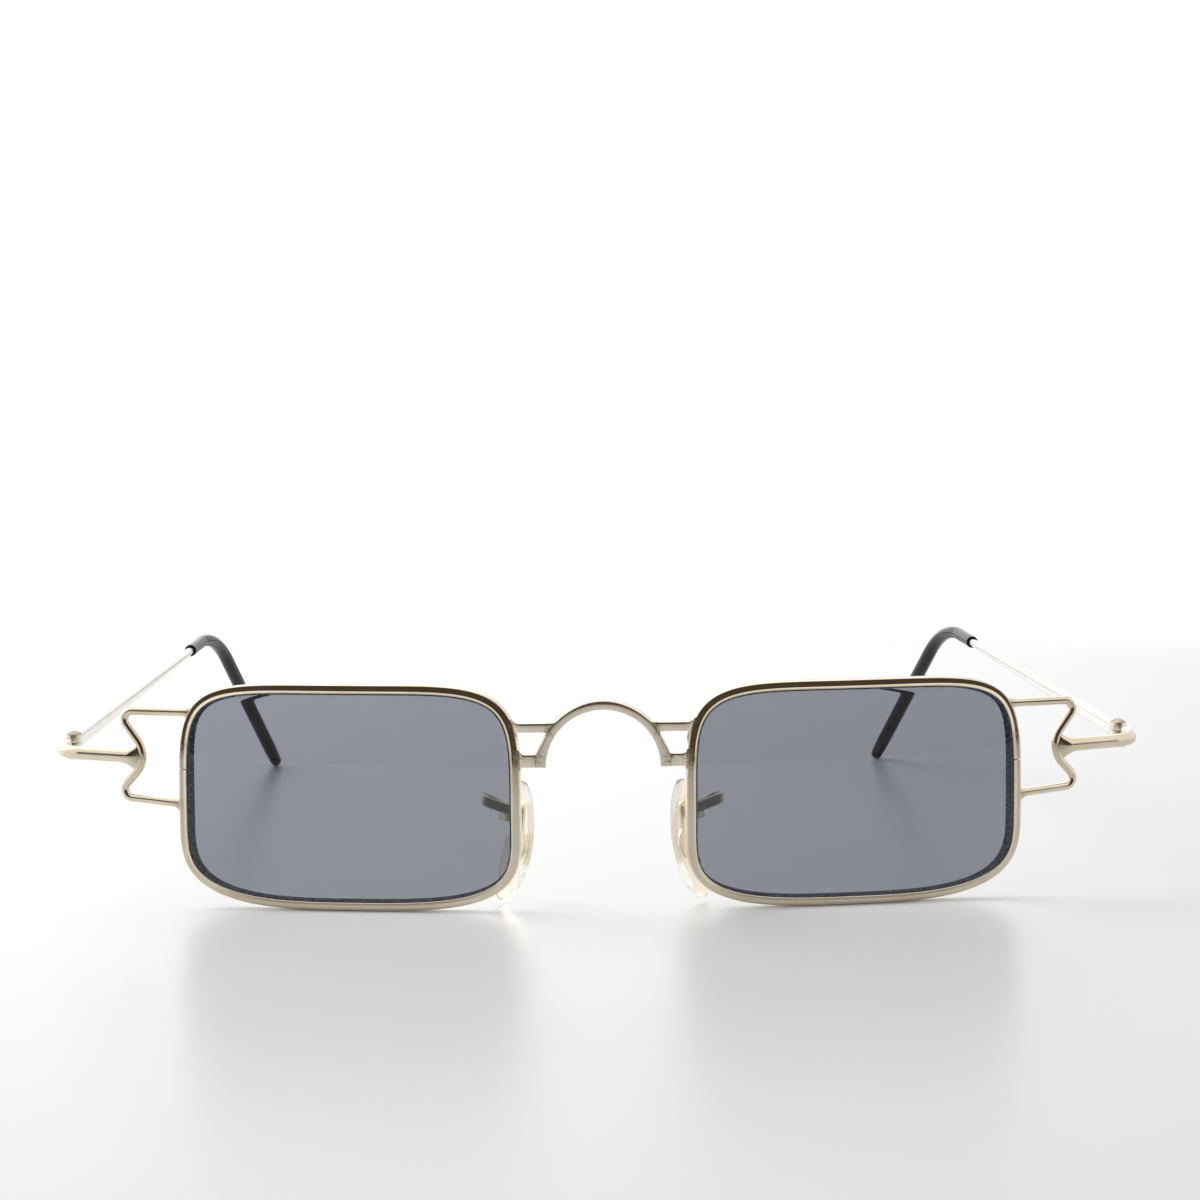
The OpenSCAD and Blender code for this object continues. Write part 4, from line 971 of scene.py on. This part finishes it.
def hingeGrids():
    # The front leaf with two knuckles, the back leaf with one between them, and the screw
    s = hinge
    halfW, halfH = templeSize["rootW"] / 2 + s["proud"], templeSize["rootH"] / 2 + s["proud"]
    x0, x1, clear = s["axis"] - halfW, s["axis"] + halfW, s["knuckleR"] + s["gap"]
    inner, top, neck = s["knuckleH"] / 2 + s["gap"], 1.5 * s["knuckleH"] + s["gap"], s["knuckleR"] * 0.8
    front = [leafSwell(leafFront, -clear, x1 - x0, 2 * halfH),
             leafBlock(clear, x1 - 0.01, -clear - 0.06, -s["gap"] / 2, -halfH + 0.02, halfH - 0.02, 0.05),
             leafBlock(x0, neck, -clear - 0.06, -0.5, inner, halfH - 0.02, 0.05),
             leafBlock(x0, neck, -clear - 0.06, -0.5, -halfH + 0.02, -inner, 0.05),
             knuckleGrid(inner, top), knuckleGrid(-top, -inner)]
    back = [leafBlock(x0, x1, clear, s["leafBack"], -halfH, halfH, 0.15),
            leafBlock(clear, x1, s["gap"] / 2, clear + 0.3, -halfH, halfH, 0.05),
            leafBlock(x0, neck, 0.5, clear + 0.3, -s["knuckleH"] / 2, s["knuckleH"] / 2, 0.05),
            knuckleGrid(-s["knuckleH"] / 2, s["knuckleH"] / 2)]
    head = slottedHead(s["knuckleR"] - 0.01, 0.04, s["dome"], s["slotW"], s["slotDepth"])
    head = inHinge(turned(head, 90) + [0, 0, top])
    r, c = s["screwR"], 0.08
    pin = inHinge(lathe([(0.05, -top), (r - c, -top), (r, -top + c), (r, top)]))
    return front, back, [head, pin]


frontLeaf, backLeaf, screwParts = hingeGrids()
makePair("hinge_front", frontLeaf, hingeMetalPaintedLight)
makePair("hinge_temple", backLeaf, hingeMetalPaintedLight, "temple_{}_body")
makePair("hinge_screw", screwParts, screwMetal)
print("hinges made")

# Temples and sleeves
sleeveSize = dict(lead=8.5, mouth=1.75, thick=2.0, solid=4, gap=0.02)
rise, hook, inward = (np.radians(templeSize[k]) for k in ("rise", "hook", "inward"))
bendLength = templeSize["bend"] * np.radians(templeSize["hook"] + templeSize["rise"])


def templePath(d):
    # Straight and rising, then an arc over the ear, then straight down the hook; past the straight
    # it also turns inwards: x = axis - past tan(inward)
    s = templeSize
    past = np.maximum(d - s["straight"], 0)
    bent = np.minimum(past, bendLength)
    turn = rise - bent / s["bend"]
    hooked, run = past - bent, np.minimum(d, s["straight"])
    y = run * np.cos(rise) + s["bend"] * (np.sin(rise) - np.sin(turn)) + hooked * np.cos(hook)
    z = run * np.sin(rise) - s["bend"] * (np.cos(rise) - np.cos(turn)) - hooked * np.sin(hook)
    return inHinge(xyz(hinge["axis"] - past * np.tan(inward), y, z))


hookStart = (hingeZ + templeSize["straight"] * np.sin(rise)
             - templeSize["bend"] * (np.cos(rise) - np.cos(hook)))
bendEnd = templeSize["straight"] + bendLength
tipR = sleeveSize["mouth"] / 2
templeLength = bendEnd + (hookStart - tipR) / np.sin(hook) + tipR
sleeveStart = templeSize["straight"] - sleeveSize["lead"]
wireEnd = templeLength - sleeveSize["solid"]


def templeGrid():
    # A bar that tapers from a squarish root to a round wire before the sleeve, and goes on inside it
    s = templeSize
    d = np.concatenate([np.linspace(hinge["leafBack"] - 0.06, sleeveStart, 150),
                        np.linspace(sleeveStart, wireEnd, 60)[1:]])
    f = np.minimum(d / sleeveStart, 1)
    w, h = s["rootW"] * (1 - f) + s["endD"] * f, s["rootH"] * (1 - f) + s["endD"] * f
    return carried(templePath(d), oval(w, h, 4 - 2 * f, 44), (0, 0, 1))


def sleeveGrid():
    # One skin: from inside the bore out over the rounded mouth, along the outside and round the tip
    s = sleeveSize
    bore, mouth, wide = templeSize["endD"] / 2 + s["gap"], s["mouth"] / 2, s["thick"] / 2
    inner = np.linspace(wireEnd, sleeveStart + 0.2, 50)
    lip = np.radians(np.linspace(180, 0, 12))
    lipR, tipStart = (mouth - bore) / 2, templeLength - tipR
    outer = np.linspace(sleeveStart + 0.25, tipStart, 130)
    grown = np.interp(outer, [templeSize["straight"], bendEnd, wireEnd, tipStart],
                      [mouth, wide, wide, tipR])
    tip = np.radians(np.linspace(0, 88, 14))[1:]
    d = np.concatenate([inner, sleeveStart + lipR - lipR * np.sin(lip), outer,
                        tipStart + tipR * np.sin(tip)])
    r = np.concatenate([np.full_like(inner, bore), (mouth + bore) / 2 + lipR * np.cos(lip), grown,
                        tipR * np.cos(tip)])[:, None, None]
    # The path doubles back at the mouth, so its direction comes from the temple's own line
    ahead = unit(templePath(d + 0.05) - templePath(d - 0.05))
    side = unit(np.cross(ahead, (0, 0, 1)))
    top = np.cross(side, ahead)
    a = allRound(44)[:, None]
    return templePath(d)[:, None] + r * (side[:, None] * np.cos(a) + top[:, None] * np.sin(a))


makePair("temple", [templeGrid()], templeMetalPaintedLight, "temple_{}_body")
makePair("sleeve", [sleeveGrid()], blackPlastic, "temple_{}_body", "temple_sleeve")
print("temples made")

# Nose pads, with their boxes, screws and strips
pad = dict(length=15, width=7.0, thick=1.4, bow=30, screwDrop=4.0, place=(11.25, 6.9, 11.4), splay=24,
           lean=11.5, middleX=-1.75, narrowing=0.2, fullness=3.4, squareness=0.85, endRound=0.12,
           coreT=0.5, neckW=2.0, neckR=0.5, ovalW=5.0, ovalL=4.4, coreTop=1.2, coreBottom=6.2,
           tabR=0.7, tabW=1.1, tabGap=0.05, cheek=0.45, boxH=2.2, boxBack=1.05, boxFront=0.4,
           screwR=0.3, headR=0.5, headH=0.3, slotW=0.14, slotDepth=0.12)
strip = dict(height=1.3, thick=0.45, rootZ=12.1, loopZ=13.4, run=1.9, reach=4.2, span=3.2, bend=1.1)
padMiddleZ = pad["screwDrop"] - pad["length"] / 2
boxInner = pad["tabW"] / 2 + pad["tabGap"]
boxOuter = boxInner + pad["cheek"]


def inPad(p):
    # Leaned about Y, then splayed about Z, then moved to the screw
    a = np.radians(pad["lean"])
    x, y, z = np.moveaxis(np.asarray(p, float), -1, 0)
    leaned = xyz(x * np.cos(a) - z * np.sin(a), y, x * np.sin(a) + z * np.cos(a))
    return np.array(pad["place"]) + turned(leaned, -pad["splay"])


def padBow(z):
    # The fall of a circle: R - sqrt(R^2 - z^2)
    return pad["bow"] - np.sqrt(pad["bow"] ** 2 - (z - padMiddleZ) ** 2)


def padGrid():
    # A drop-shaped outline, and across it a superellipse: (share)^p + (x / half)^p = 1
    s = pad
    lift = np.radians(np.linspace(-90, 90, 44))
    share = powered(np.cos(lift), 2 / s["fullness"]).clip(0.02, 1)[:, None]
    x = powered(np.sin(lift), 2 / s["fullness"])[:, None] * s["thick"] / 2
    a = allRound(110)[None]
    y = s["width"] / 2 * powered(np.cos(a), s["squareness"]) * (1 - s["narrowing"] * np.sin(a)) * share
    z = padMiddleZ + s["length"] / 2 * np.sin(a) * (s["endRound"] + (1 - s["endRound"]) * share)
    return inPad(xyz(s["middleX"] + padBow(z) + x, y, z))


def corePlate():
    # A thin plate that follows the bow: a neck with a round top, and an oval below it
    s = pad
    half = s["ovalL"] / 2
    low = s["coreBottom"] - half
    z = np.concatenate([-low - half * np.cos(np.linspace(0.12, 2.6, 34)),
                        np.linspace(-0.2, s["coreTop"], 16)])
    ovalW = s["ovalW"] * np.sqrt(np.maximum(1 - ((z + low) / half) ** 2, 0))
    top = 2 * flare(z[-1] - z, s["neckR"])
    w = np.where(z > -low, np.maximum(ovalW, s["neckW"]), np.maximum(ovalW, 0.3)) - top
    section = oval(np.full_like(z, s["coreT"]), w, 5, 28)
    x, y = np.moveaxis(section, -1, 0)
    return inPad(xyz(s["middleX"] + padBow(z)[:, None] + x, y, z[:, None]))


def coreTab():
    # A flat stem from the plate to the screw, with a round end about the screw's axis
    s = pad
    start = s["middleX"] + padBow(0)
    a = np.radians(np.linspace(-90, 90, 16))
    r, half, c = s["tabR"], s["tabW"] / 2, 0.06
    outline = np.concatenate([[(start, -r)], r * circle(a), [(start, r)]])
    middle = outline.mean(0)
    rings = [((outline - middle) * k + middle, y) for k, y in
             ((0.93, -half), (1, c - half), (1, half - c), (0.93, half))]
    return inPad(np.stack([xyz(o[:, 0], y, o[:, 1]) for o, y in rings]))


def padScrewGrids():
    # A slotted head in front of the box, and a pin through both cheeks
    s, wide = pad, boxOuter
    head = slottedHead(s["headR"], s["headH"] * 0.6, s["headH"], s["slotW"], s["slotDepth"])
    r, c = s["screwR"], 0.05
    pin = lathe([(0.02, -wide), (r - c, -wide), (r, -wide + c), (r, wide)], 36)

    def laid(g):  # Z of the lathe runs forward, along -Y
        return inPad(xyz(g[..., 0], -g[..., 2], g[..., 1]))

    return [laid(head + [0, 0, wide]), laid(pin)]


def padBoxGrids():
    # Two cheeks beside the tab and a back that joins them
    s = pad
    x0, x1, back = -s["boxFront"], s["boxBack"], s["tabR"] + s["tabGap"]

    def part(a, b, y0, y1):
        return inPad(block((b - a, y1 - y0, s["boxH"]), ((a + b) / 2, (y0 + y1) / 2, 0), 0.09))

    return [part(x0, x1, -boxOuter, -boxInner), part(x0, x1, boxInner, boxOuter),
            part(back, x1, -boxOuter + 0.05, boxOuter - 0.05)]


def stripShell():
    # A flat strip with rounded edges: from the back of the rim, out in a loop and in to the box
    s = strip
    u, z = -edgeAt(s["rootZ"], "nasal"), s["rootZ"]
    root = inGlasses(np.array([u + rim["width"] * 0.55, sag(u, z) + rim["depth"] / 2 - 0.06, z]))
    end = inPad(np.array([pad["boxBack"] - 0.06, 0, pad["boxH"] / 5]))
    out = root * [1, 1, 0] + [s["reach"], s["run"], s["loopZ"]]
    path = evenly(roundedPath([root, out, out + [0, s["span"], 0], end], [s["bend"]] * 2), 0.1)[0]
    return brazed(carried(path, oval(s["thick"], s["height"], 4, 32), (0, 0, 1)), [root, end], reach=0.5)


letLightThrough(makePair("nose_pad", [padGrid()], clearPlastic, "pad_{}_body"))
makePair("pad_core", [corePlate(), coreTab()], coreMetal, "pad_{}_body")
makePair("pad_screw", padScrewGrids(), fittingMetal)
makePair("pad_box", padBoxGrids(), fittingMetal)
makePair("pad_arm", [stripShell()], fittingMetal)
print("nose pads made")
